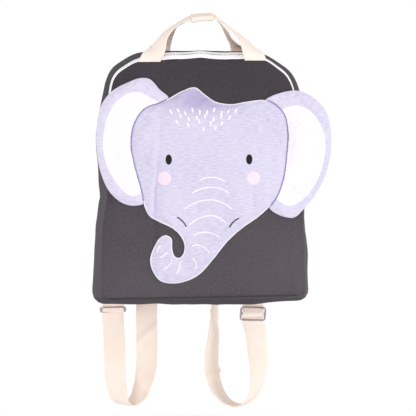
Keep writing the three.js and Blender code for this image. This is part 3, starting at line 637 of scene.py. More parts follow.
def canvas_material():
    """Cotton canvas, plain-woven and piece-dyed charcoal: matt, with slubs and a faint nap."""
    material, tree, shader = new_material("cotton_canvas_plain_woven_charcoal")
    cloth = cloth_coordinates(tree)
    # Threads are 0.6 mm apart in such canvas; 1.5 mm is drawn, so that the weave shows
    across, along = (thread_wave(tree, cloth, 1.5, axis) for axis in "XY")
    weave = calculate(tree, "MULTIPLY", across, along)
    slub_along = cloth_noise(tree, cloth, 260, 900)
    slub_across = cloth_noise(tree, cloth, 900, 260)
    fading = cloth_noise(tree, cloth, 9, 9, 3.0)
    threads = weighted(tree, slub_along, 0.5, slub_across, 0.5)
    tone = mix(tree, ramp(tree, threads, 0.34, 0.66), linear("#3f383e"), linear("#534c53"))
    tone = mix(tree, ramp(tree, fading, 0.35, 0.7, 0.0, 0.36), tone, linear("#5c555d"))
    # Painted light and shade, by the height in metres: the canvas is painted darkest at the top, palest low
    # down, and dark again under the base seam, as the light falls on it.
    height = add_node(tree, "ShaderNodeSeparateXYZ", in0=object_coordinates(tree)).outputs["Z"]
    tone = mix(tree, ramp(tree, height, -0.26, -0.06, 0.0, 0.42), tone, linear("#262126"))
    tone = mix(tree, ramp(tree, height, -0.30, -0.16, 0.30, 0.0), tone, linear("#6b646d"))
    # Painted shade under the base seam, where the cloth faces down
    tone = mix(tree, ramp(tree, height, -0.323, -0.316, 0.8, 0.0), tone, linear("#2e292f"))
    tone = mix(tree, ramp(tree, weave, 0.0, 0.6, 0.14, 0.0), tone, linear("#2e2a2f"))
    tree.links.new(tone, shader.inputs["Base Color"])
    set_values(shader, Roughness=0.92, Sheen_Weight=0.06, Sheen_Roughness=0.4,
               Sheen_Tint=linear("#c9c4d6"))
    relief = calculate(tree, "ADD", calculate(tree, "MULTIPLY", weave, 0.5), threads)
    add_bump(tree, shader, 0.35, 0.6, relief)
    return material


def heather_tone(tree, cloth):
    """The mottled lavender of mixed fibres, streaked along the weft."""
    streaks = cloth_noise(tree, cloth, 130, 1050, 3.0)
    fine = cloth_noise(tree, cloth, 420, 1900, 1.0)
    clouds = cloth_noise(tree, cloth, 14, 14, 2.0)
    fibres = weighted(tree, streaks, 0.7, fine, 0.3)
    tone = mix(tree, ramp(tree, fibres, 0.34, 0.66), linear("#cdc7e2"), linear("#e3def4"))
    return mix(tree, ramp(tree, clouds, 0.3, 0.75, 0.0, 0.3), tone, linear("#eae4f6")), fibres


def heather_shader(tree, shader, tone, fibres, cloth):
    tree.links.new(tone, shader.inputs["Base Color"])
    set_values(shader, Roughness=0.9, Sheen_Weight=0.12, Sheen_Roughness=0.5)
    # Threads are 0.45 mm apart in such cotton; 1.3 mm is drawn, so that they show
    weft = thread_wave(tree, cloth, 1.3, "Y")
    relief = calculate(tree, "ADD", calculate(tree, "MULTIPLY", weft, 0.3), fibres)
    add_bump(tree, shader, 0.25, 0.5, relief)


def print_and_shade_layer(tree, tone, attribute, code, cover=1.0, softness=0.35):
    """A tone laid over another, for prints and for painted shade. The attribute is the distance into its
    area, in millimetres.
    """
    distance = add_node(tree, "ShaderNodeAttribute", dict(attribute_name=attribute)).outputs["Fac"]
    return mix(tree, ramp(tree, distance, -softness, softness, 0.0, cover), tone, linear(code))


def face_material():
    """Heather cotton, woven from mixed fibres and screen-printed: soft and matt, with a white edge."""
    material, tree, shader = new_material("heather_cotton_screen_printed_face")
    cloth = cloth_coordinates(tree)
    tone, fibres = heather_tone(tree, cloth)
    # Painted shade: the forehead is darker under the brow's peak, and a dark line of painted shadow runs
    # where the head's edge lies over the ears
    tone = print_and_shade_layer(tree, tone, "brow_shade", "#aba2ca", 0.8, 16.0)
    tone = print_and_shade_layer(tree, tone, "cheek", "#fde9f4", 0.86)
    tone = print_and_shade_layer(tree, tone, "eye", "#141216")
    tone = print_and_shade_layer(tree, tone, "margin", "#fbfaff")
    tone = print_and_shade_layer(tree, tone, "ear_joint_shadow", "#a99fd2", 0.8, 0.6)
    heather_shader(tree, shader, tone, fibres, cloth)
    return material


def ear_material():
    """Heather cotton, woven from mixed fibres, with a white inner ear printed on it: soft and matt."""
    material, tree, shader = new_material("heather_cotton_printed_ear")
    cloth = cloth_coordinates(tree)
    tone, fibres = heather_tone(tree, cloth)
    tone = mix(tree, 0.22, tone, linear("#f6f1ff"))
    tone = print_and_shade_layer(tree, tone, "inside", "#fdfaff", 0.93)
    heather_shader(tree, shader, tone, fibres, cloth)
    return material


def webbing_material():
    """Cotton webbing, tape-woven and unbleached: cream, matt, with lengthwise ribs."""
    material, tree, shader = new_material("cotton_webbing_tape_woven_cream")
    cloth = cloth_coordinates(tree)
    # The ribs of such webbing are 1 mm apart and its picks 0.8 mm; both are drawn 1.6 mm apart
    ribs = thread_wave(tree, cloth, 1.6, "Y")
    picks = thread_wave(tree, cloth, 1.6, "X")
    yarn = cloth_noise(tree, cloth, 90, 700)
    clouds = cloth_noise(tree, cloth, 22, 22, 2.0)
    tone = mix(tree, ramp(tree, yarn, 0.3, 0.7), linear("#fff1e6"), linear("#fff7ef"))
    tone = mix(tree, ramp(tree, clouds, 0.35, 0.75, 0.0, 0.4), tone, linear("#ffe8d8"))
    tone = mix(tree, ramp(tree, ribs, 0.0, 0.35, 0.12, 0.0), tone, linear("#f6ddca"))
    tree.links.new(tone, shader.inputs["Base Color"])
    # A weak warm glow stands in for light that passes through thin cotton. Its strength is given.
    set_values(shader, Roughness=0.86, Sheen_Weight=0.1,
               Emission_Color=linear("#ffb98a"), Emission_Strength=0.055)
    add_bump(tree, shader, 0.3, 0.5, weighted(tree, ribs, 0.7, picks, 0.3))
    return material


def zip_tape_material():
    """Polyester zip tape, close-woven and white: smoother and brighter than the cotton."""
    material, tree, shader = new_material("polyester_zip_tape_woven_white")
    # The tape's herringbone is 0.8 mm wide; 1.4 mm is drawn
    weave = thread_wave(tree, cloth_coordinates(tree), 1.4, "DIAGONAL")
    tone = mix(tree, ramp(tree, weave, 0.0, 0.7, 0.5, 0.0), linear("#ffffff"), linear("#ebe6ec"))
    tree.links.new(tone, shader.inputs["Base Color"])
    # A weak glow is painted light: it brightens the tape, which faces up away from the lamps, to white. A
    # weak glow brings the tape to the photo's white. Its strength is by eye.
    set_values(shader, Roughness=0.7, Emission_Color=linear("#fbf6ff"), Emission_Strength=0.12)
    add_bump(tree, shader, 0.25, 0.4, weave)
    return material


def zip_coil_material():
    """Nylon zip coil, wound from one filament and heat-set: white and a little waxy."""
    material, tree, shader = new_material("nylon_zip_coil_wound_white")
    place = object_coordinates(tree)
    grain = add_node(tree, "ShaderNodeTexNoise", in0=place, Scale=900.0, Detail=2.0).outputs[0]
    tone = mix(tree, ramp(tree, grain, 0.35, 0.7), linear("#f6f3f6"), linear("#ffffff"))
    tree.links.new(tone, shader.inputs["Base Color"])
    tree.links.new(ramp(tree, grain, 0.2, 0.8, 0.32, 0.48), shader.inputs["Roughness"])
    shader.inputs["Coat Weight"].default_value = 0.15
    return material


def plated_material():
    """Zinc alloy, die-cast and nickel-plated: a warm soft gloss with fine polishing marks."""
    material, tree, shader = new_material("zinc_alloy_die_cast_nickel_plated")
    place = object_coordinates(tree)
    stretched = add_node(tree, "ShaderNodeMapping", in0=place, in3=(260.0, 2600.0, 2600.0))
    marks = add_node(tree, "ShaderNodeTexNoise", in0=stretched.outputs[0], Scale=1.0, Detail=3.0).outputs[0]
    wear = add_node(tree, "ShaderNodeTexNoise", in0=place, Scale=240.0, Detail=3.0).outputs[0]
    tone = mix(tree, ramp(tree, wear, 0.4, 0.7, 0.0, 0.6), linear("#c3b7ba"), linear("#a3979b"))
    tree.links.new(tone, shader.inputs["Base Color"])
    shader.inputs["Metallic"].default_value = 1.0
    tree.links.new(ramp(tree, marks, 0.25, 0.75, 0.24, 0.42), shader.inputs["Roughness"])
    add_bump(tree, shader, 0.12, 0.1, marks)
    return material


def ink_material(name, first, second, roughness):
    """Pigment ink, pressed through a mesh into the cloth: dense and even, with a fine grain."""
    material, tree, shader = new_material(name)
    place = object_coordinates(tree)
    grain = add_node(tree, "ShaderNodeTexNoise", in0=place, Scale=1400.0, Detail=2.0).outputs[0]
    tone = mix(tree, ramp(tree, grain, 0.35, 0.65), linear(first), linear(second))
    tree.links.new(tone, shader.inputs["Base Color"])
    shader.inputs["Roughness"].default_value = roughness
    add_bump(tree, shader, 0.2, 0.2, grain)
    return material


def seam_shade_thread_material():
    """Polyester sewing thread, spun and dyed charcoal: a fine dark line with a slight gleam, laid along the
    base seams as painted shade of their crease.
    """
    material, tree, shader = new_material("polyester_thread_spun_charcoal_seam_shade")
    place = object_coordinates(tree)
    twist = add_node(tree, "ShaderNodeTexNoise", in0=place, Scale=1500.0, Detail=1.0).outputs[0]
    tone = mix(tree, twist, linear("#2a262a"), linear("#4a444a"))
    tree.links.new(tone, shader.inputs["Base Color"])
    shader.inputs["Roughness"].default_value = 0.6
    return material


CANVAS_CLOTH = canvas_material()
FACE_CLOTH = face_material()
EAR_CLOTH = ear_material()
WEBBING_CLOTH = webbing_material()
TAPE_CLOTH = zip_tape_material()
COIL_NYLON = zip_coil_material()
PLATED = plated_material()
SEAM_SHADE_THREAD = seam_shade_thread_material()
WHITE_INK = ink_material("pigment_ink_screen_printed_white", "#ffffff", "#f4f1fa", 0.75)
BLACK_INK = ink_material("pigment_ink_screen_printed_black", "#17141a", "#2b272e", 0.6)


# ---- Canvas --------------------------------------------------------------------------------

PANEL_COLUMNS, PANEL_ROWS = 112, 132
BACK_SWELL_REACH = 20
BAG_MIDDLE = (0, 0, -180)
LEFT_TURN, RIGHT_TURN = SEAM_AT["corner_left"] + 0.5, SEAM_AT["shoulder_right"] + 0.5
BASE_LEFT, BASE_RIGHT = SEAM_AT["base_left"], SEAM_AT["base_right"]


def panel_flat_points(along, across, side):
    """Points that fill the seam loop: a patch between its base, top, left and right."""
    def edge(first, last, share):
        return track(positions_between(first, last, share)[0], side)

    base = edge(BASE_LEFT + len(SEAM), BASE_RIGHT, along)
    top = edge(LEFT_TURN, RIGHT_TURN, along)
    left = edge(BASE_LEFT, LEFT_TURN, across)
    right = edge(BASE_RIGHT, RIGHT_TURN, across)
    ends = np.array([0.0, 1.0])
    base_left, top_left = edge(BASE_LEFT, LEFT_TURN, ends)
    base_right, top_right = edge(BASE_RIGHT, RIGHT_TURN, ends)
    u, v = along[:, None], across[:, None]
    flat = base * (1 - v) + top * v + left * (1 - u) + right * u
    return flat - (base_left * (1 - u) * (1 - v) + top_left * (1 - u) * v
                   + base_right * u * (1 - v) + top_right * u * v)


SEAM_TUCK = 1.5
SEAM_TUCK_REACH = 3.2
# Between these heights the sides' seams are drawn in less
SIDE_TUCK = {"low": (-308, -292), "high": (-110, -90), "eased": 0.7}
GUSSET_INSET = 0.9
GUSSET_TUCK = 0.9


def seam_tuck(depth, z):
    """How far the cloth dips where it turns into a seam: less along the sides, where nothing pulls."""
    along_side = smoothstep(z, *SIDE_TUCK["low"]) * (1 - smoothstep(z, *SIDE_TUCK["high"]))
    dip = SEAM_TUCK * (1 - smoothstep(depth, 0, SEAM_TUCK_REACH))
    return dip * (1 - SIDE_TUCK["eased"] * along_side)


def pucker(x, z, depth, cloth):
    """Small gathers that the stitches pull along an edge."""
    row = PUCKERS[cloth]
    fading = np.exp(-depth / PUCKER_REACH)
    return row["height"] * fading * soft_noise(flat_points(x, z), PUCKER_SIZE, row["seed"])


def make_panels():
    def front_place(along, across):
        flat = panel_flat_points(along, across, "front")
        x, z = flat[:, 0], flat[:, 1]
        depth = np.maximum(depth_inside(FRONT_LOOP, x, z), 0)
        y = front_surface(x, z) + seam_tuck(depth, z) + pucker(x, z, depth, "front")
        return np.stack([x, y, z], axis=1), x, z

    def back_place(along, across):
        flat = panel_flat_points(along, across, "back")
        x, z = flat[:, 0], flat[:, 1]
        depth = np.maximum(depth_inside(BACK_LOOP, x, z), 0)
        ground = np.stack([x, np.full(len(x), BACK), z], axis=1)
        soft = swells(ground, "back") * smoothstep(depth, 0, BACK_SWELL_REACH)
        y = back_surface(x, z) - seam_tuck(depth, z) + soft - GAP - pucker(x, z, depth, "back")
        return np.stack([x, y, z], axis=1), x, z

    panels = (("front_canvas", "front_panel", front_place, FRONT_LOOP),
              ("back_canvas", "back_panel", back_place, BACK_LOOP))
    for name, node, place, loop in panels:
        bm = grid_piece(PANEL_COLUMNS, PANEL_ROWS, place)
        turn_outwards(bm, BAG_MIDDLE)
        panel = with_thickness(finish_piece(name, bm, [CANVAS_CLOTH], [node]), CANVAS)


# Creases across the gusset, by their place along the seam loop
GUSSET_FOLDS = [
    dict(name="left_buckle", at="buckle", shift=0.0, y=-6, reach=0.15, height=-1.5),
    dict(name="over_buckle", at="buckle", shift=0.2, y=-6, reach=0.14, height=0.7),
    dict(name="left_hip", at="under_buckle", shift=-0.35, y=4, reach=0.16, height=1.0),
    dict(name="right_hip", at="side_right", shift=0.1, y=6, reach=0.16, height=-1.4),
    dict(name="right_rib", at="side_right", shift=0.5, y=2, reach=0.12, height=1.0),
    dict(name="right_arm", at="zip_end_right", shift=0.4, y=8, reach=0.14, height=-1.2),
    dict(name="left_arm", at="zip_end_left", shift=0.0, y=4, reach=0.7, height=1.1),
    dict(name="right_shoulder", at="corner_right", shift=0.4, y=0, reach=0.36, height=2.6),
    dict(name="base_sag_left", at="base_middle", shift=0.45, y=0, reach=0.16, height=-1.0),
    dict(name="base_sag_right", at="base_right", shift=0.45, y=0, reach=0.3, height=1.9),
]
# The folds' width along y, and the last position counted as the loop's first part
FOLD_WIDTH = 34
FIRST_PART = 4.5
# Columns and rows of each band, and the relief of the top's hem, the tapes and the coil's turns
BASE_GRID, TOP_GRID, TAPE_GRID = (300, 40), (200, 36), (220, 4)
HEM = {"width": 1.6, "dip": 0.8, "rise": 0.5, "calm_to": -20}
TAPE_RIPPLE = {"height": 0.25, "length": 5.3, "rise": 0.35, "dip": 0.9, "dip_width": 1.6}
TURN = {"share": 0.8, "width": 2.9, "height": 1.7, "edge": 0.5, "aside": 0.55, "out": -0.1, "end": 0.01}


def gusset_relief(position, y, length):
    """Soft creases of the gusset, held flat along both seams."""
    share = (y - FRONT) / BAG_DEPTH
    held = np.sin(np.pi * np.clip(share, 0, 1)) ** 0.7
    relief = np.zeros(len(position))
    for fold in GUSSET_FOLDS:
        middle = SEAM_AT[fold["at"]] + fold["shift"]
        if middle < FIRST_PART:
            middle += len(SEAM)
        apart = (position - middle) / fold["reach"]
        relief += fold["height"] * np.exp(-apart ** 2 - ((y - fold["y"]) / FOLD_WIDTH) ** 2)
    ground = np.stack([length, y, np.zeros(len(y))], axis=1)
    return (relief + swells(ground, "gusset")) * held


def gusset_band(name, node, first, last, from_y, to_y, grid, slot_name, cloth, wall, details):
    """A band of cloth along the gusset, between two positions and two depths."""
    def place(along, across):
        position, lengths = positions_between(first, last, along)
        y = from_y + (to_y - from_y) * across
        return gusset_point(position, y, details(position, y, lengths)), lengths, y

    bm = grid_piece(*grid, place)
    turn_outwards(bm, BAG_MIDDLE)
    return with_thickness(finish_piece(name, bm, [cloth], [node]), wall)


def make_gussets():
    zip_left, zip_right = SEAM_AT["zip_end_left"], SEAM_AT["zip_end_right"]
    inner_front, inner_back = FRONT + GUSSET_INSET, BACK - GUSSET_INSET

    def canvas_details(position, y, lengths):
        depth = np.minimum(y - FRONT, BACK - y)
        z = gusset_point(position, y, 0.0)[:, 2]
        return gusset_relief(position, y, lengths) - seam_tuck(depth, z) * GUSSET_TUCK

    def top_details(position, y, lengths):
        hem = np.maximum(0, 1 - (y - TOP_CANVAS_FROM) / HEM["width"])
        relief = gusset_relief(position, y, lengths) * smoothstep(y, TOP_CANVAS_FROM, HEM["calm_to"])
        return relief - seam_tuck(BACK - y, 0.0) * GUSSET_TUCK - HEM["dip"] * hem ** 2 + HEM["rise"]

    def tape_details(position, y, lengths):
        ripple = TAPE_RIPPLE["height"] * np.sin(lengths / TAPE_RIPPLE["length"])
        from_coil = np.abs(y - ZIP_LINES["coil"]) / TAPE_RIPPLE["dip_width"]
        return ripple + TAPE_RIPPLE["rise"] - TAPE_RIPPLE["dip"] * np.exp(-from_coil ** 2)

    gusset_band("base_gusset_canvas", "base_gusset", zip_right, zip_left + len(SEAM), inner_front, inner_back,
                BASE_GRID, "canvas", CANVAS_CLOTH, CANVAS, canvas_details)
    gusset_band("top_gusset_canvas", "top_gusset", zip_left, zip_right, TOP_CANVAS_FROM, inner_back,
                TOP_GRID, "canvas", CANVAS_CLOTH, CANVAS, top_details)
    for side in ("front", "back"):
        gusset_band(f"zip_tape_{side}_woven", f"zip_tape_{side}", zip_left, zip_right,
                    *ZIP_LINES[f"{side}_tape"], TAPE_GRID, "zip_white", TAPE_CLOTH, ZIP_TAPE, tape_details)


def make_zip_coil():
    """Both rows of the coil's turns, locked into each other."""
    zip_left, zip_right = SEAM_AT["zip_end_left"] + TURN["end"], SEAM_AT["zip_end_right"] - TURN["end"]
    length = track(zip_right, "length") - track(zip_left, "length")
    count = int(length / TOOTH_PITCH)
    positions = even_positions(zip_left, zip_right, count)
    places = gusset_point(positions, np.full(count, ZIP_LINES["coil"]), np.full(count, TURN["out"]))
    outward = track(positions, "outward")
    bm = bmesh.new()
    for index in range(count):
        side = 1 if index % 2 else -1
        made = bmesh.ops.create_cube(bm, size=1)["verts"]
        bmesh.ops.scale(bm, vec=(TOOTH_PITCH * TURN["share"], TURN["width"], TURN["height"]), verts=made)
        edges = list({edge for vertex in made for edge in vertex.link_edges})
        turned = bmesh.ops.bevel(bm, geom=edges, offset=TURN["edge"], segments=1, profile=0.5,
                                 material=-1, affect="EDGES")
        tooth = list({vertex for face in turned["faces"] for vertex in face.verts})
        out = Vector((outward[index][0], 0, outward[index][1]))
        along = Vector((0, 1, 0)).cross(out)
        for vertex in tooth:
            x, y, z = vertex.co
            aside = Vector((0, y + TURN["aside"] * side, 0))
            vertex.co = (Vector(places[index]) + along * x + aside + out * z) * MM
    finish_piece("zip_coil_turns", bm, [COIL_NYLON], ["zip_coil"])


# ---- Face and ears -------------------------------------------------------------------------

CLOTH_CELL = 1.2
TRIAL_CELL = 3.2
PLATE_CELLS = 3
# The cloth trial: how far it may move outwards and sink, and what is held still in it
PUFF_LIMIT = 2.0
SINK_LIMIT = 0.6
TRIAL = {"pressure": 4, "shrink": -0.05, "bending": 0.6, "frames": 20, "seam": 2, "back_share": 0.6}
# Rays start this far in front of the bag, in metres
RAY_START = -0.3
# How the front cloth takes up the padding, by its share of the way to the front
FRONT_SHARES = (0.4, 0.9)
GATHER_REACH = 2.5
# Widths of the printed white edge and of the painted shadow line where the head lies over the ears
MARGIN = {"width": 1.25, "ear_joint_shadow": 1.35, "over_ear": 3, "none": -1.0}
# Where the painted shade on the forehead lies, and how far it reaches
BROW = {"x": -2, "z": -90, "reach": 14, "narrow": 0.42}
EAR_WAVE_REACH = 25
EAR_FRONT_SHARE = 0.3
EAR_NONE = -5.0


def applied_mesh(piece):
    """A piece's mesh with its modifiers applied."""
    return bpy.data.meshes.new_from_object(piece.evaluated_get(bpy.context.evaluated_depsgraph_get()))


def outline_prism(name, outline, depth):
    """A flat plate with that outline, from y 0 to depth."""
    bm = bmesh.new()
    corners = bmesh.ops.create_circle(bm, cap_ends=True, segments=len(outline), radius=1)["verts"]
    for corner, (x, z) in zip(corners, outline):
        corner.co = (x * MM, 0, z * MM)
    moved = bmesh.ops.extrude_face_region(bm, geom=bm.faces[:])["geom"]
    back = [thing for thing in moved if isinstance(thing, bmesh.types.BMVert)]
    bmesh.ops.translate(bm, vec=(0, depth * MM, 0), verts=back)
    bmesh.ops.recalc_face_normals(bm, faces=bm.faces[:])
    plate = object_from(name, bm)
    bm.free()
    return plate


def even_plate(outline, removed, cell):
    """A plate a few cells deep, evenly meshed, with each vertex's x, z and share to the front."""
    depth = PLATE_CELLS * cell
    plate = outline_prism("plate", outline, depth)
    used = [plate]
    if removed is not None:
        cutter = outline_prism("cutter", removed, depth)
        cutter.data.transform(Matrix.Translation((0, -depth * MM, 0)) @ Matrix.Diagonal((1, 3, 1, 1)))
        cut = plate.modifiers.new("cut", "BOOLEAN")
        cut.operation, cut.object, cut.solver = "DIFFERENCE", cutter, "EXACT"
        used.append(cutter)
    remesh = plate.modifiers.new("even", "REMESH")
    remesh.mode, remesh.voxel_size = "VOXEL", cell * MM
    made = applied_mesh(plate)
    bm = bmesh.new()
    bm.from_mesh(made)
    bpy.data.meshes.remove(made)
    for thing in used:
        bpy.data.meshes.remove(thing.data)
    points = np.array([vertex.co[:] for vertex in bm.verts]) / MM
    toward_front = 1 - np.clip(points[:, 1] / depth, 0, 1)
    return bm, points[:, 0], points[:, 2], toward_front


def blow_up(bm, held):
    """Blows up a closed cloth by pressure, with the held vertices still, and moves bm's with it."""
    trial = object_from("padding_trial", bm)
    trial.vertex_groups.new(name="held").add(np.flatnonzero(held).tolist(), 1.0, "REPLACE")
    cloth = trial.modifiers.new("padding", "CLOTH").settings
    cloth.use_pressure = True
    cloth.uniform_pressure_force = TRIAL["pressure"]
    cloth.vertex_group_mass = "held"
    cloth.shrink_min = TRIAL["shrink"]
    cloth.bending_stiffness = TRIAL["bending"]
    cloth.effector_weights.gravity = 0
    scene = bpy.context.scene
    for number in range(1, TRIAL["frames"] + 1):
        scene.frame_set(number)
    blown = applied_mesh(trial)
    for vertex, moved in zip(bm.verts, blown.vertices):
        shift = moved.co - vertex.co
        if shift.length > PUFF_LIMIT * MM:
            shift.length = PUFF_LIMIT * MM
        vertex.co += shift
    bpy.data.meshes.remove(blown)
    bpy.data.meshes.remove(trial.data)
    scene.frame_set(1)


def padding_lift(outline, removed, shape):
    """Blows up a coarse copy of a padded piece as cloth, with its back and its seam held.

    Gives a function of x and z for how far that moves the front cloth along y.
    """
    bm, x, z, toward_front = even_plate(outline, removed, TRIAL_CELL)
    set_places(bm, shape(x, z, toward_front))
    bmesh.ops.recalc_face_normals(bm, faces=bm.faces[:])
    flat = BVHTree.FromBMesh(bm)
    held = (depth_inside(outline, x, z) < TRIAL["seam"]) | (toward_front < TRIAL["back_share"])
    if removed is not None:
        held |= depth_inside(removed, x, z) > -TRIAL["seam"]
    blow_up(bm, held)
    full = BVHTree.FromBMesh(bm)
    bm.free()

    def lift(x, z):
        lifts = np.zeros(len(x))
        ahead = Vector((0, 1, 0))
        for index, (px, pz) in enumerate(zip(x, z)):
            start = Vector((px * MM, RAY_START, pz * MM))
            before, after = flat.ray_cast(start, ahead)[0], full.ray_cast(start, ahead)[0]
            if before and after:
                lifts[index] = (after.y - before.y) / MM
        return np.clip(lifts, -PUFF_LIMIT, SINK_LIMIT)

    return lift


def grown_loop(loop, by):
    """A loop moved outwards."""
    along = np.roll(loop, -1, axis=0) - np.roll(loop, 1, axis=0)
    along /= np.linalg.norm(along, axis=1)[:, None]
    area = 0.5 * np.sum(loop[:, 0] * np.roll(loop[:, 1], -1) - np.roll(loop[:, 0], -1) * loop[:, 1])
    turn = 1 if area > 0 else -1
    return loop + np.stack([along[:, 1], -along[:, 0]], axis=1) * by * turn


def padding(depth, edge, full):
    share = np.clip(depth / PADDING_REACH, 0, 1)
    return edge + (full - edge) * (1 - (1 - share) ** 2)


def set_attribute(piece, name, values):
    layer = piece.data.attributes.new(name, "FLOAT", "POINT")
    layer.data.foreach_set("value", np.asarray(values, np.float32))


def padded_piece(name, node, outline, removed, shape, material):
    """A padded piece with that outline, and its vertices' x, z and shares to the front."""
    lift = padding_lift(outline, removed, shape)
    bm, x, z, toward_front = even_plate(outline, removed, CLOTH_CELL)
    points = shape(x, z, toward_front)
    points[:, 1] += lift(x, z) * smoothstep(toward_front, *FRONT_SHARES)
    bm.verts.index_update()
    set_cloth_map(bm, x, z)
    set_places(bm, points)
    bmesh.ops.recalc_face_normals(bm, faces=bm.faces[:])
    return finish_piece(name, bm, [material], [node]), x, z, toward_front


def make_face():
    def shape(x, z, toward_front):
        depth = np.maximum(depth_inside(HEAD_LOOP, x, z), 0)
        gather = pucker(x, z, depth, "face") * smoothstep(depth, 0, GATHER_REACH)
        thickness = padding(depth, FACE_EDGE, FACE_PADDING)
        y = front_surface(x, z) - GAP - toward_front * (thickness + gather)
        return np.stack([x, y, z], axis=1)

    face, x, z, _ = padded_piece("elephant_face", "face_panel", HEAD_LOOP, None, shape, FACE_CLOTH)
    half_wide, half_high = EYE_HALF
    eye = np.max([1 - np.hypot((x - ex) / half_wide, (z - ez) / half_high) for ex, ez in EYES], axis=0)
    cheek = np.max([CHEEK_RADIUS - np.hypot(x - cx, z - cz) for cx, cz in CHEEKS], axis=0)
    inside = depth_inside(HEAD_LOOP, x, z)
    over_ear = np.max([depth_inside(loop, x, z) for loop in EAR_LOOPS], axis=0) > MARGIN["over_ear"]
    # Painted shade: a darker forehead under the brow, and a dark shadow line where the head's edge lies over
    # the ears
    brow = BROW["reach"] - np.hypot((x - BROW["x"]) * BROW["narrow"], z - BROW["z"])
    set_attribute(face, "eye", eye * half_wide)
    set_attribute(face, "cheek", cheek)
    set_attribute(face, "margin", np.where(over_ear, MARGIN["none"], MARGIN["width"] - inside))
    set_attribute(face, "ear_joint_shadow", np.where(over_ear, MARGIN["ear_joint_shadow"] - inside, MARGIN["none"]))
    set_attribute(face, "brow_shade", brow)
    return face


def make_ear(name, node, outline, inside):
    loop, inside_loop = (smooth_curve(line, CURVE_STEPS, True) for line in (outline, inside))

    def shape(x, z, toward_front):
        past_head, free = -depth_inside(HEAD_LOOP, x, z), depth_inside(loop, x, z)
        depth = np.maximum(np.minimum(free, past_head), 0)
        lift = EAR_LIFT * (np.clip(past_head, 0, EAR_LIFT_REACH) / EAR_LIFT_REACH) ** 2
        back = np.minimum(front_surface(x, z) - GAP, FRONT - EAR_STAND_OFF) - lift
        wave = swells(flat_points(x, z), "ear") * smoothstep(past_head, 0, EAR_WAVE_REACH)
        gather = pucker(x, z, np.maximum(free, 0), "ear") * smoothstep(depth, 0, GATHER_REACH)
        y = back - wave - toward_front * (padding(depth, EAR_EDGE, EAR_PADDING) + gather)
        return np.stack([x, y, z], axis=1)

    removed = grown_loop(HEAD_LOOP, GAP)
    ear, x, z, toward_front = padded_piece(name, node, loop, removed, shape, EAR_CLOTH)
    inner = depth_inside(inside_loop, x, z)
    set_attribute(ear, "inside", np.where(toward_front > EAR_FRONT_SHARE, inner, EAR_NONE))


# ---- The face's printed lines --------------------------------------------------------------

INK_LIFT = 0.12
INK_STEP = 0.8
FEWEST_STEPS = 6
# The strip's direction is taken over this length either way, and its ends stay this blunt
INK_LOOK = 0.3
INK_END = 0.03
PRINT_RAY_START = -0.2  # metres
LINE_STEPS = 24
STROKE_WAVE = {"height": 2.0, "by_stroke": 2.4, "by_row": 1.3}


def ink_strip(bm, line, width, surface, material_index):
    """A thin strip of ink along a line of (x, z) points, narrow at its ends, laid on the cloth."""
    line = np.asarray(line, float)
    lengths = run_lengths(line)
    steps = max(FEWEST_STEPS, int(lengths[-1] / INK_STEP))
    made = bmesh.ops.create_grid(bm, x_segments=steps, y_segments=2, size=1)["verts"]
    shares = np.array([(vertex.co.x + 1) / 2 for vertex in made])
    sides = np.array([vertex.co.y for vertex in made])
    where = shares * lengths[-1]
    x, z = (np.interp(where, lengths, line[:, k]) for k in (0, 1))
    ahead = np.clip(where + INK_LOOK, 0, lengths[-1])
    behind = np.clip(where - INK_LOOK, 0, lengths[-1])
    dx, dz = (np.interp(ahead, lengths, line[:, k]) - np.interp(behind, lengths, line[:, k]) for k in (0, 1))
    size = np.maximum(np.hypot(dx, dz), 1e-6)
    from_end = np.minimum(where, lengths[-1] - where) / (width / 2)
    half = width / 2 * np.sqrt(np.clip(1 - (1 - np.clip(from_end, INK_END, 1)) ** 2, 0, 1))
    x, z = x - dz / size * half * sides, z + dx / size * half * sides
    for vertex, px, pz in zip(made, x, z):
        hit = surface.ray_cast(Vector((px * MM, PRINT_RAY_START, pz * MM)), Vector((0, 1, 0)))[0]
        vertex.co = hit - Vector((0, INK_LIFT * MM, 0))
    for face in {face for vertex in made for face in vertex.link_faces}:
        face.material_index = material_index
        face.normal_update()
        if face.normal.y > 0:
            face.normal_flip()


def make_print(face):
    """White forehead strokes and trunk lines and two black mouth lines, as a film of ink."""
    surface = BVHTree.FromObject(face, bpy.context.evaluated_depsgraph_get())
    bm = bmesh.new()
    for number, (tone, lines) in enumerate((("white", WHITE_LINES), ("black", BLACK_LINES))):
        for line in lines:
            ink_strip(bm, arc_through(line, LINE_STEPS), LINE_WIDTH[tone], surface, number)
    for row_number, row in enumerate(HAIR_ROWS):
        for index in range(row["count"]):
            share = index / (row["count"] - 1)
            x = row["first"] + (row["last"] - row["first"]) * share
            phase = STROKE_WAVE["by_stroke"] * index + STROKE_WAVE["by_row"] * row_number
            z = row["z"] + STROKE_WAVE["height"] * math.sin(phase)
            lean = HAIR["fan"] * x / HAIR["half_span"]
            half = Vector((math.sin(lean), math.cos(lean))) * HAIR["length"] / 2
            ends = [(x - half.x, z - half.y), (x, z), (x + half.x, z + half.y)]
            ink_strip(bm, ends, HAIR["width"], surface, 0)
    finish_piece("face_print_lines", bm, [WHITE_INK, BLACK_INK])


# ---- Webbing -------------------------------------------------------------------------------

EDGE_POINTS = 5
FACE_POINTS = 12
HANDLE_STEPS, STRAP_STEPS = 8, 10
HANDLE_CUP, LEFT_CUP, RIGHT_CUP = 0.5, 0.9, 1.0
TURN_WINDOW = 13
HANDLE_LAP = 3
SEWN_LENGTH = 18
SLIDER_RUN_OUT = 1.5
KEEPER_ROOM = 0.9
KEEPER_GRID = (96, 24)
KEEPER_EDGE = 0.3
KEEPER_ROUND = {"sides": 0.16, "top": 0.5}
KEEPER_WAVES = {"gather": 0.35, "crumple": 0.25}
# How a crease fades at both ends of its share of the run
CREASE_FADE = 0.02
SWAY = {"height": 0.5, "left": 17.0, "right": 15.0}


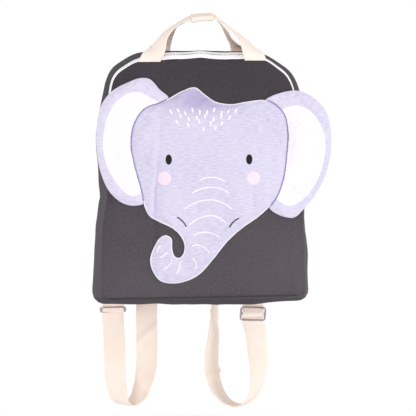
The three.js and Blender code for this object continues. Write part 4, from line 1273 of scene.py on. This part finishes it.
def webbing_profile():
    """The closed outline of the webbing's cross-section, as (side, layer) from -1 to 1."""
    round_edge = WEBBING / WEBBING_WIDTH
    top = [(side, 1.0) for side in np.linspace(-1 + round_edge, 1 - round_edge, FACE_POINTS)]
    angles = np.linspace(math.pi / 2, -math.pi / 2, EDGE_POINTS + 2)[1:-1]
    right = [(1 - round_edge + round_edge * math.cos(a), math.sin(a)) for a in angles]
    bottom = [(-side, -1.0) for side, _ in top]
    left = [(-side, -layer) for side, layer in right]
    return np.array(top + right + bottom + left)


PROFILE = webbing_profile()


def webbing_frames(rows, steps):
    """Centres along rows of a table joined by a smooth curve, with the rows' other columns."""
    centres = smooth_curve([(row["x"], row["y"], row["z"]) for row in rows], steps, False)
    places = np.arange(len(centres)) / steps

    def column(name):
        return np.interp(places, np.arange(len(rows)), [row.get(name, 0) for row in rows])

    return centres, np.radians(column("face")), column("tilt"), column("level")


def directions(centres, face, tilt, level):
    """The webbing's directions across and out of its face at each centre."""
    along = np.gradient(centres, axis=0)
    along /= np.linalg.norm(along, axis=1)[:, None]
    upright = np.stack([np.zeros(len(along)), np.zeros(len(along)), np.sign(along[:, 2])], axis=1)
    along = along * (1 - level)[:, None] + upright * level[:, None]
    along /= np.linalg.norm(along, axis=1)[:, None]
    across = np.stack([np.cos(face), np.sin(face) * np.cos(tilt), np.sin(face) * np.sin(tilt)], axis=1)
    across -= along * (across * along).sum(1)[:, None]
    across /= np.linalg.norm(across, axis=1)[:, None]
    return across, np.cross(along, across)


def webbing_piece(name, node, centres, across, out, bend):
    """Webbing through its centres. bend(side, share, z) curls it out of its plane, in millimetres."""
    count, sides = len(centres), len(PROFILE)
    lengths = run_lengths(centres)

    def place(round_share, along_share):
        ring = np.rint(along_share * (count - 1)).astype(int)
        spot = np.rint(round_share * sides).astype(int)
        side, layer = PROFILE[spot % sides, 0], PROFILE[spot % sides, 1]
        curl = bend(side, lengths[ring] / lengths[-1], centres[ring, 2])
        sideways = side * WEBBING_WIDTH / 2
        points = (centres[ring] + across[ring] * sideways[:, None]
                  + out[ring] * (layer * WEBBING / 2 + curl)[:, None])
        return points, lengths[ring], sideways

    bm = grid_piece(sides, count - 1, place)
    close_tube(bm, WEBBING_WELD)
    finish_piece(name, bm, [WEBBING_CLOTH], [node])


def droop(x):
    """How far the left end of the keeper hangs below its right end."""
    return KEEPER["droop"] * smoothstep(-x, -2, 13)


def keeper_row(x, height, face):
    tilt = KEEPER["tilt"]
    z = height * math.cos(tilt) - float(droop(x))
    return dict(x=x, y=-height * math.sin(tilt), z=z, face=face, tilt=tilt)


def handle_curl(side, share, z):
    """The handles cup a little towards their middles."""
    return HANDLE_CUP * side ** 2 * np.sin(math.pi * share) ** 2


LOWER_LAYER = KEEPER["wall"] + GAP + WEBBING / 2


def make_handles():
    upper_layer = LOWER_LAYER + WEBBING + GAP
    held = [KEEPER["from"] - HANDLE_LAP, KEEPER["from"], KEEPER["to"], KEEPER["to"] + HANDLE_LAP]
    handles = (("handle_front", FRONT_HANDLE, upper_layer, -90),
               ("handle_back", BACK_HANDLE, LOWER_LAYER, 90))
    for name, rows, height, face in handles:
        middle = [keeper_row(x, height, face) for x in held]
        centres, angle, tilt, level = webbing_frames(rows["left"] + middle + rows["right"], HANDLE_STEPS)
        across, out = directions(centres, angle, tilt, level)
        webbing_piece(f"{name}_webbing", name, centres, across, out, handle_curl)


def make_keeper():
    """The short band of webbing round both handles, a little crumpled."""
    half_height = (LOWER_LAYER + WEBBING * 1.5 + 2 * GAP - KEEPER["wall"]) / 2
    middle_height = KEEPER["wall"] + half_height
    half_width = WEBBING_WIDTH / 2 + KEEPER_ROOM
    tilt = KEEPER["tilt"]

    def place(round_share, along_share):
        turn = 2 * math.pi * round_share
        y = half_width * np.sign(np.cos(turn)) * np.abs(np.cos(turn)) ** KEEPER_ROUND["sides"]
        z = middle_height + half_height * np.sign(np.sin(turn)) * np.abs(np.sin(turn)) ** KEEPER_ROUND["top"]
        x = KEEPER["from"] + (KEEPER["to"] - KEEPER["from"]) * along_share
        gather = KEEPER_WAVES["gather"] * np.cos(2 * math.pi * along_share) * (np.sin(turn) > 0)
        z = z + gather + KEEPER_WAVES["crumple"] * np.sin(3 * turn + 2 * along_share)
        risen = y * math.sin(tilt) + z * math.cos(tilt) - droop(x)
        return np.stack([x, y * math.cos(tilt) - z * math.sin(tilt), risen], axis=1), y, x

    bm = grid_piece(*KEEPER_GRID, place)
    weld(bm, FINE_WELD)
    turn_outwards(bm, ((KEEPER["from"] + KEEPER["to"]) / 2, 0, middle_height))
    band = finish_piece("handle_keeper_webbing", bm, [WEBBING_CLOTH], ["handle_keeper"])
    wall = band.modifiers.new("webbing_thickness", "SOLIDIFY")
    wall.thickness, wall.offset = KEEPER["wall"] * MM, 1
    rounding = band.modifiers.new("soft_edges", "BEVEL")
    rounding.width, rounding.segments, rounding.limit_method = KEEPER_EDGE * MM, 2, "ANGLE"


def slider_centres(slider):
    """The webbing's way through a slider: behind both outer bars and in front of the middle one."""
    middle = SLIDER["middle"] / 2
    outer = middle + SLIDER["slot"]
    end = outer + SLIDER["bar"] + SLIDER_RUN_OUT
    behind = SLIDER["thickness"] / 2 + WEBBING
    sin, cos = math.sin(slider["tilt"]), math.cos(slider["tilt"])
    way = [(-end, behind), (-outer, behind), (-middle, -behind),
           (middle, -behind), (outer, behind), (end, behind)]
    return [dict(x=slider["x"], y=slider["y"] - h * sin + out * cos,
                 z=slider["z"] + h * cos + out * sin, face=0) for h, out in way]


def seated_on_back(x, z):
    """A row of webbing that lies on the back panel."""
    y = back_surface(np.array([float(x)]), np.array([float(z)]))[0] + GAP + WEBBING / 2
    return dict(x=x, y=y, z=z, face=0)


def make_strap(side, strap, curl):
    """A shoulder strap from its sewn top, round its loop, through its slider, to its sewn bottom."""
    x, z = strap["top"]
    low_x, low_from, low_to = strap["bottom"]
    sewn = seated_on_back(low_x - math.copysign(WEBBING_WIDTH / 2, low_x), low_to)["y"]
    top = [seated_on_back(x, z), seated_on_back(x, z - SEWN_LENGTH)]
    bottom = [dict(x=low_x, y=sewn, z=low_z, face=0) for low_z in (low_from, low_to)]
    rows = top + strap["run"] + slider_centres(strap["slider"]) + bottom
    centres, angle, tilt, level = webbing_frames(rows, STRAP_STEPS)
    level[:3] = 1
    level[-3:] = 1
    padded = np.pad(angle, TURN_WINDOW // 2, mode="edge")
    angle = np.convolve(padded, np.ones(TURN_WINDOW) / TURN_WINDOW, mode="valid")
    across, out = directions(centres, angle, tilt, level)
    webbing_piece(f"{side}_shoulder_strap_webbing", f"{side}_shoulder_strap", centres, across, out, curl)


# Slanting creases of the straps: their share of the run, the height of their middle, how far they
# drop towards the webbing's edge, and how wide and high they are
STRAP_CREASES = {
    "left": [
        dict(first=0.36, last=0.58, z=-371, slant=11, width=3.6, height=3.0),
        dict(first=0.50, last=0.66, z=-436, slant=-5, width=4.0, height=-1.2),
    ],
    "right": [
        dict(first=0.40, last=0.60, z=-424, slant=6, width=4.0, height=3.2),
        dict(first=0.36, last=0.50, z=-352, slant=-10, width=5.0, height=-1.4),
    ],
}


def crease(row, side, share, z):
    """A crease across the webbing, between two shares of its run."""
    begun = smoothstep(share, row["first"] - CREASE_FADE, row["first"])
    within = begun * (1 - smoothstep(share, row["last"], row["last"] + CREASE_FADE))
    return row["height"] * within * np.exp(-((z - row["z"] - row["slant"] * side) / row["width"]) ** 2)


def make_straps():
    for name, strap, cup in (("left", LEFT_STRAP, LEFT_CUP), ("right", RIGHT_STRAP, RIGHT_CUP)):
        def curl(side, share, z):
            cupped = cup * side ** 2 * np.sin(math.pi * share)
            creased = sum(crease(row, side, share, z) for row in STRAP_CREASES[name])
            return cupped + creased + SWAY["height"] * np.sin(z / SWAY[name]) * side

        make_strap(name, strap, curl)


# ---- Metal, and thread as painted seam shade -----------------------------------------------

FLAT_ANGLE, EDGE_ANGLE = math.radians(3), math.radians(35)
ZIP_SLIDER_EDGE = 0.5
# The slider's outline: its steps, its start, how square it is, its ring and its bar's edge
FRAME = {"steps": 96, "start": 0.01, "square": 0.24, "ring": 12, "bar_edge": 0.5, "bar_share": 0.9}
# The dark cord of painted seam shade: its radius, where it starts and ends, its steps and ring, and how far
# past the panel and out it lies
SHADE_THREAD = {"radius": 0.55, "from_corner": 0.08, "steps": 260, "ring": 8, "past": 0.2, "out": 0.1}


def make_metal(name, node, edge):
    """A solid's exact shape with its edges rounded over, as a casting's are."""
    bm = bmesh.new()
    bm.from_mesh(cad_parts[node].data)
    weld(bm, SOLID_WELD)
    bmesh.ops.dissolve_limit(bm, angle_limit=FLAT_ANGLE, verts=bm.verts[:], edges=bm.edges[:])
    bmesh.ops.recalc_face_normals(bm, faces=bm.faces[:])
    piece = finish_piece(name, bm, [PLATED], [node])
    rounding = piece.modifiers.new("cast_edges", "BEVEL")
    rounding.width, rounding.segments = edge * MM, 2
    rounding.limit_method, rounding.angle_limit = "ANGLE", EDGE_ANGLE
    rounding.harden_normals = True


def make_slider(side, slider):
    """A frame of rounded wire with a flat bar across its middle."""
    radius = SLIDER["wire"] / 2
    half_width = SLIDER["width"] / 2 - radius
    half_height = SLIDER["middle"] / 2 + SLIDER["slot"] + SLIDER["bar"] - radius
    turn = np.linspace(0, 2 * math.pi, FRAME["steps"], endpoint=False) + FRAME["start"]
    cos, sin = np.cos(turn), np.sin(turn)
    loop = np.stack([half_width * np.sign(cos) * np.abs(cos) ** FRAME["square"],
                     half_height * np.sign(sin) * np.abs(sin) ** FRAME["square"]], axis=1)
    ahead = np.roll(loop, -1, axis=0) - np.roll(loop, 1, axis=0)
    ahead /= np.linalg.norm(ahead, axis=1)[:, None]
    outward = np.stack([ahead[:, 1], -ahead[:, 0]], axis=1)
    count = len(loop)

    def place(along_share, round_share):
        index = np.rint(along_share * count).astype(int) % count
        angle = 2 * math.pi * round_share
        flat = loop[index] + outward[index] * (radius * np.cos(angle))[:, None]
        points = np.stack([flat[:, 0], flat[:, 1], SLIDER["thickness"] / 2 * np.sin(angle)], axis=1)
        return points, along_share, round_share

    bm = grid_piece(count, FRAME["ring"], place)
    weld(bm, SLIDER_WELD)
    bar = bmesh.ops.create_cube(bm, size=MM)["verts"]
    bar_size = (2 * half_width, SLIDER["middle"], SLIDER["thickness"] * FRAME["bar_share"])
    bmesh.ops.scale(bm, vec=bar_size, verts=bar)
    edges = list({edge for vertex in bar for edge in vertex.link_edges})
    bmesh.ops.bevel(bm, geom=edges, offset=FRAME["bar_edge"] * MM, segments=3, profile=0.5,
                    material=-1, affect="EDGES")
    bmesh.ops.recalc_face_normals(bm, faces=bm.faces[:])
    turned = Matrix.Rotation(slider["tilt"] + math.pi / 2, 4, "X") @ Matrix.Rotation(slider["roll"], 4, "Z")
    middle = Matrix.Translation(Vector((slider["x"], slider["y"], slider["z"])) * MM)
    bmesh.ops.transform(bm, matrix=middle @ turned, verts=bm.verts[:])
    finish_piece(f"{side}_slider_plated", bm, [PLATED], [f"{side}_slider"])


def make_seam_shade_thread(name, y):
    """The sewn line along a panel's base seam, a dark cord that is painted shade of the seam's crease."""
    positions = even_positions(BASE_RIGHT + SHADE_THREAD["from_corner"],
                               BASE_LEFT + len(SEAM) - SHADE_THREAD["from_corner"], SHADE_THREAD["steps"])
    count = len(positions)
    centres = gusset_point(positions, np.full(count, y), np.full(count, SHADE_THREAD["out"]))
    outward = track(positions, "outward")

    def place(along_share, round_share):
        index = np.rint(along_share * (count - 1)).astype(int)
        angle = 2 * math.pi * round_share
        rise = SHADE_THREAD["radius"] * np.cos(angle)
        ring = [outward[index, 0] * rise, SHADE_THREAD["radius"] * np.sin(angle), outward[index, 1] * rise]
        return centres[index] + np.stack(ring, axis=1), along_share, round_share

    bm = grid_piece(count - 1, SHADE_THREAD["ring"], place)
    close_tube(bm, FINE_WELD)
    finish_piece(name, bm, [SEAM_SHADE_THREAD])


# ---- Scene ---------------------------------------------------------------------------------


FLOOR = {"height": -0.70, "radius": 2.0, "steps": 96}
AMBIENT = 0.72
LIGHTS = [
    dict(name="key", place=(-1.5, -2.2, -0.3), width=1.2, watts=19.5, colour=(1, 0.99, 0.98)),
    dict(name="fill", place=(2.4, -1.0, 0.1), width=1.0, watts=20, colour=(0.97, 0.98, 1)),
]
LIT = (0, 0, -0.2)
CAMERA = {"lens": 268.57, "sensor": 36, "near": 0.1, "far": 50,
          "place": (-0.24208, -3.58631, -0.02967), "target": (0.0087, 0, -0.21808)}


def make_stage():
    bm = bmesh.new()
    bmesh.ops.create_circle(bm, cap_ends=True, segments=FLOOR["steps"], radius=FLOOR["radius"])
    bmesh.ops.translate(bm, vec=(0, 0, FLOOR["height"]), verts=bm.verts[:])
    floor = object_from("floor", bm)
    bm.free()
    material, _, shader = new_material("studio_floor_painted_pale")
    set_values(shader, Base_Color=linear("#f4f3f3"), Roughness=0.8)
    floor.data.materials.append(material)


def turn_towards(thing, place, target):
    thing.location = place
    thing.rotation_euler = (Vector(target) - Vector(place)).to_track_quat("-Z", "Y").to_euler()


def make_lights():
    """Two soft lights in a white studio, which the camera sees brighter than it lights the bag."""
    scene = bpy.context.scene
    scene.view_settings.view_transform = "Standard"
    world = bpy.data.worlds.new("studio")
    world.use_nodes = True
    tree = world.node_tree
    seen = add_node(tree, "ShaderNodeLightPath").outputs["Is Camera Ray"]
    background = tree.nodes["Background"]
    background.inputs["Color"].default_value = (1, 1, 1, 1)
    tree.links.new(ramp(tree, seen, 0.0, 1.0, AMBIENT, 1.0), background.inputs["Strength"])
    scene.world = world
    for row in LIGHTS:
        data = bpy.data.lights.new(row["name"], "AREA")
        data.shape, data.size, data.energy, data.color = "DISK", row["width"], row["watts"], row["colour"]
        turn_towards(add_object(row["name"], data), row["place"], LIT)


def make_camera():
    data = bpy.data.cameras.new("photo")
    data.lens, data.sensor_width = CAMERA["lens"], CAMERA["sensor"]
    data.clip_start, data.clip_end = CAMERA["near"], CAMERA["far"]
    camera = add_object("photo", data)
    turn_towards(camera, CAMERA["place"], CAMERA["target"])
    bpy.context.scene.camera = camera


make_camera()
make_panels()
make_gussets()
make_zip_coil()
elephant = make_face()
make_ear("left_ear_padded", "left_ear", LEFT_EAR, LEFT_EAR_INSIDE)
make_ear("right_ear_padded", "right_ear", RIGHT_EAR, RIGHT_EAR_INSIDE)
make_print(elephant)
make_handles()
make_keeper()
make_straps()
make_metal("zip_slider_plated", "zip_slider", ZIP_SLIDER_EDGE)
make_slider("left", LEFT_STRAP["slider"])
make_slider("right", RIGHT_STRAP["slider"])
# Dark cords along both base seams, drawn as thread and as painted shade of the seams' crease
make_seam_shade_thread("front_base_shade_thread", FRONT - SHADE_THREAD["past"])
make_seam_shade_thread("back_base_shade_thread", BACK + SHADE_THREAD["past"])
make_stage()
make_lights()
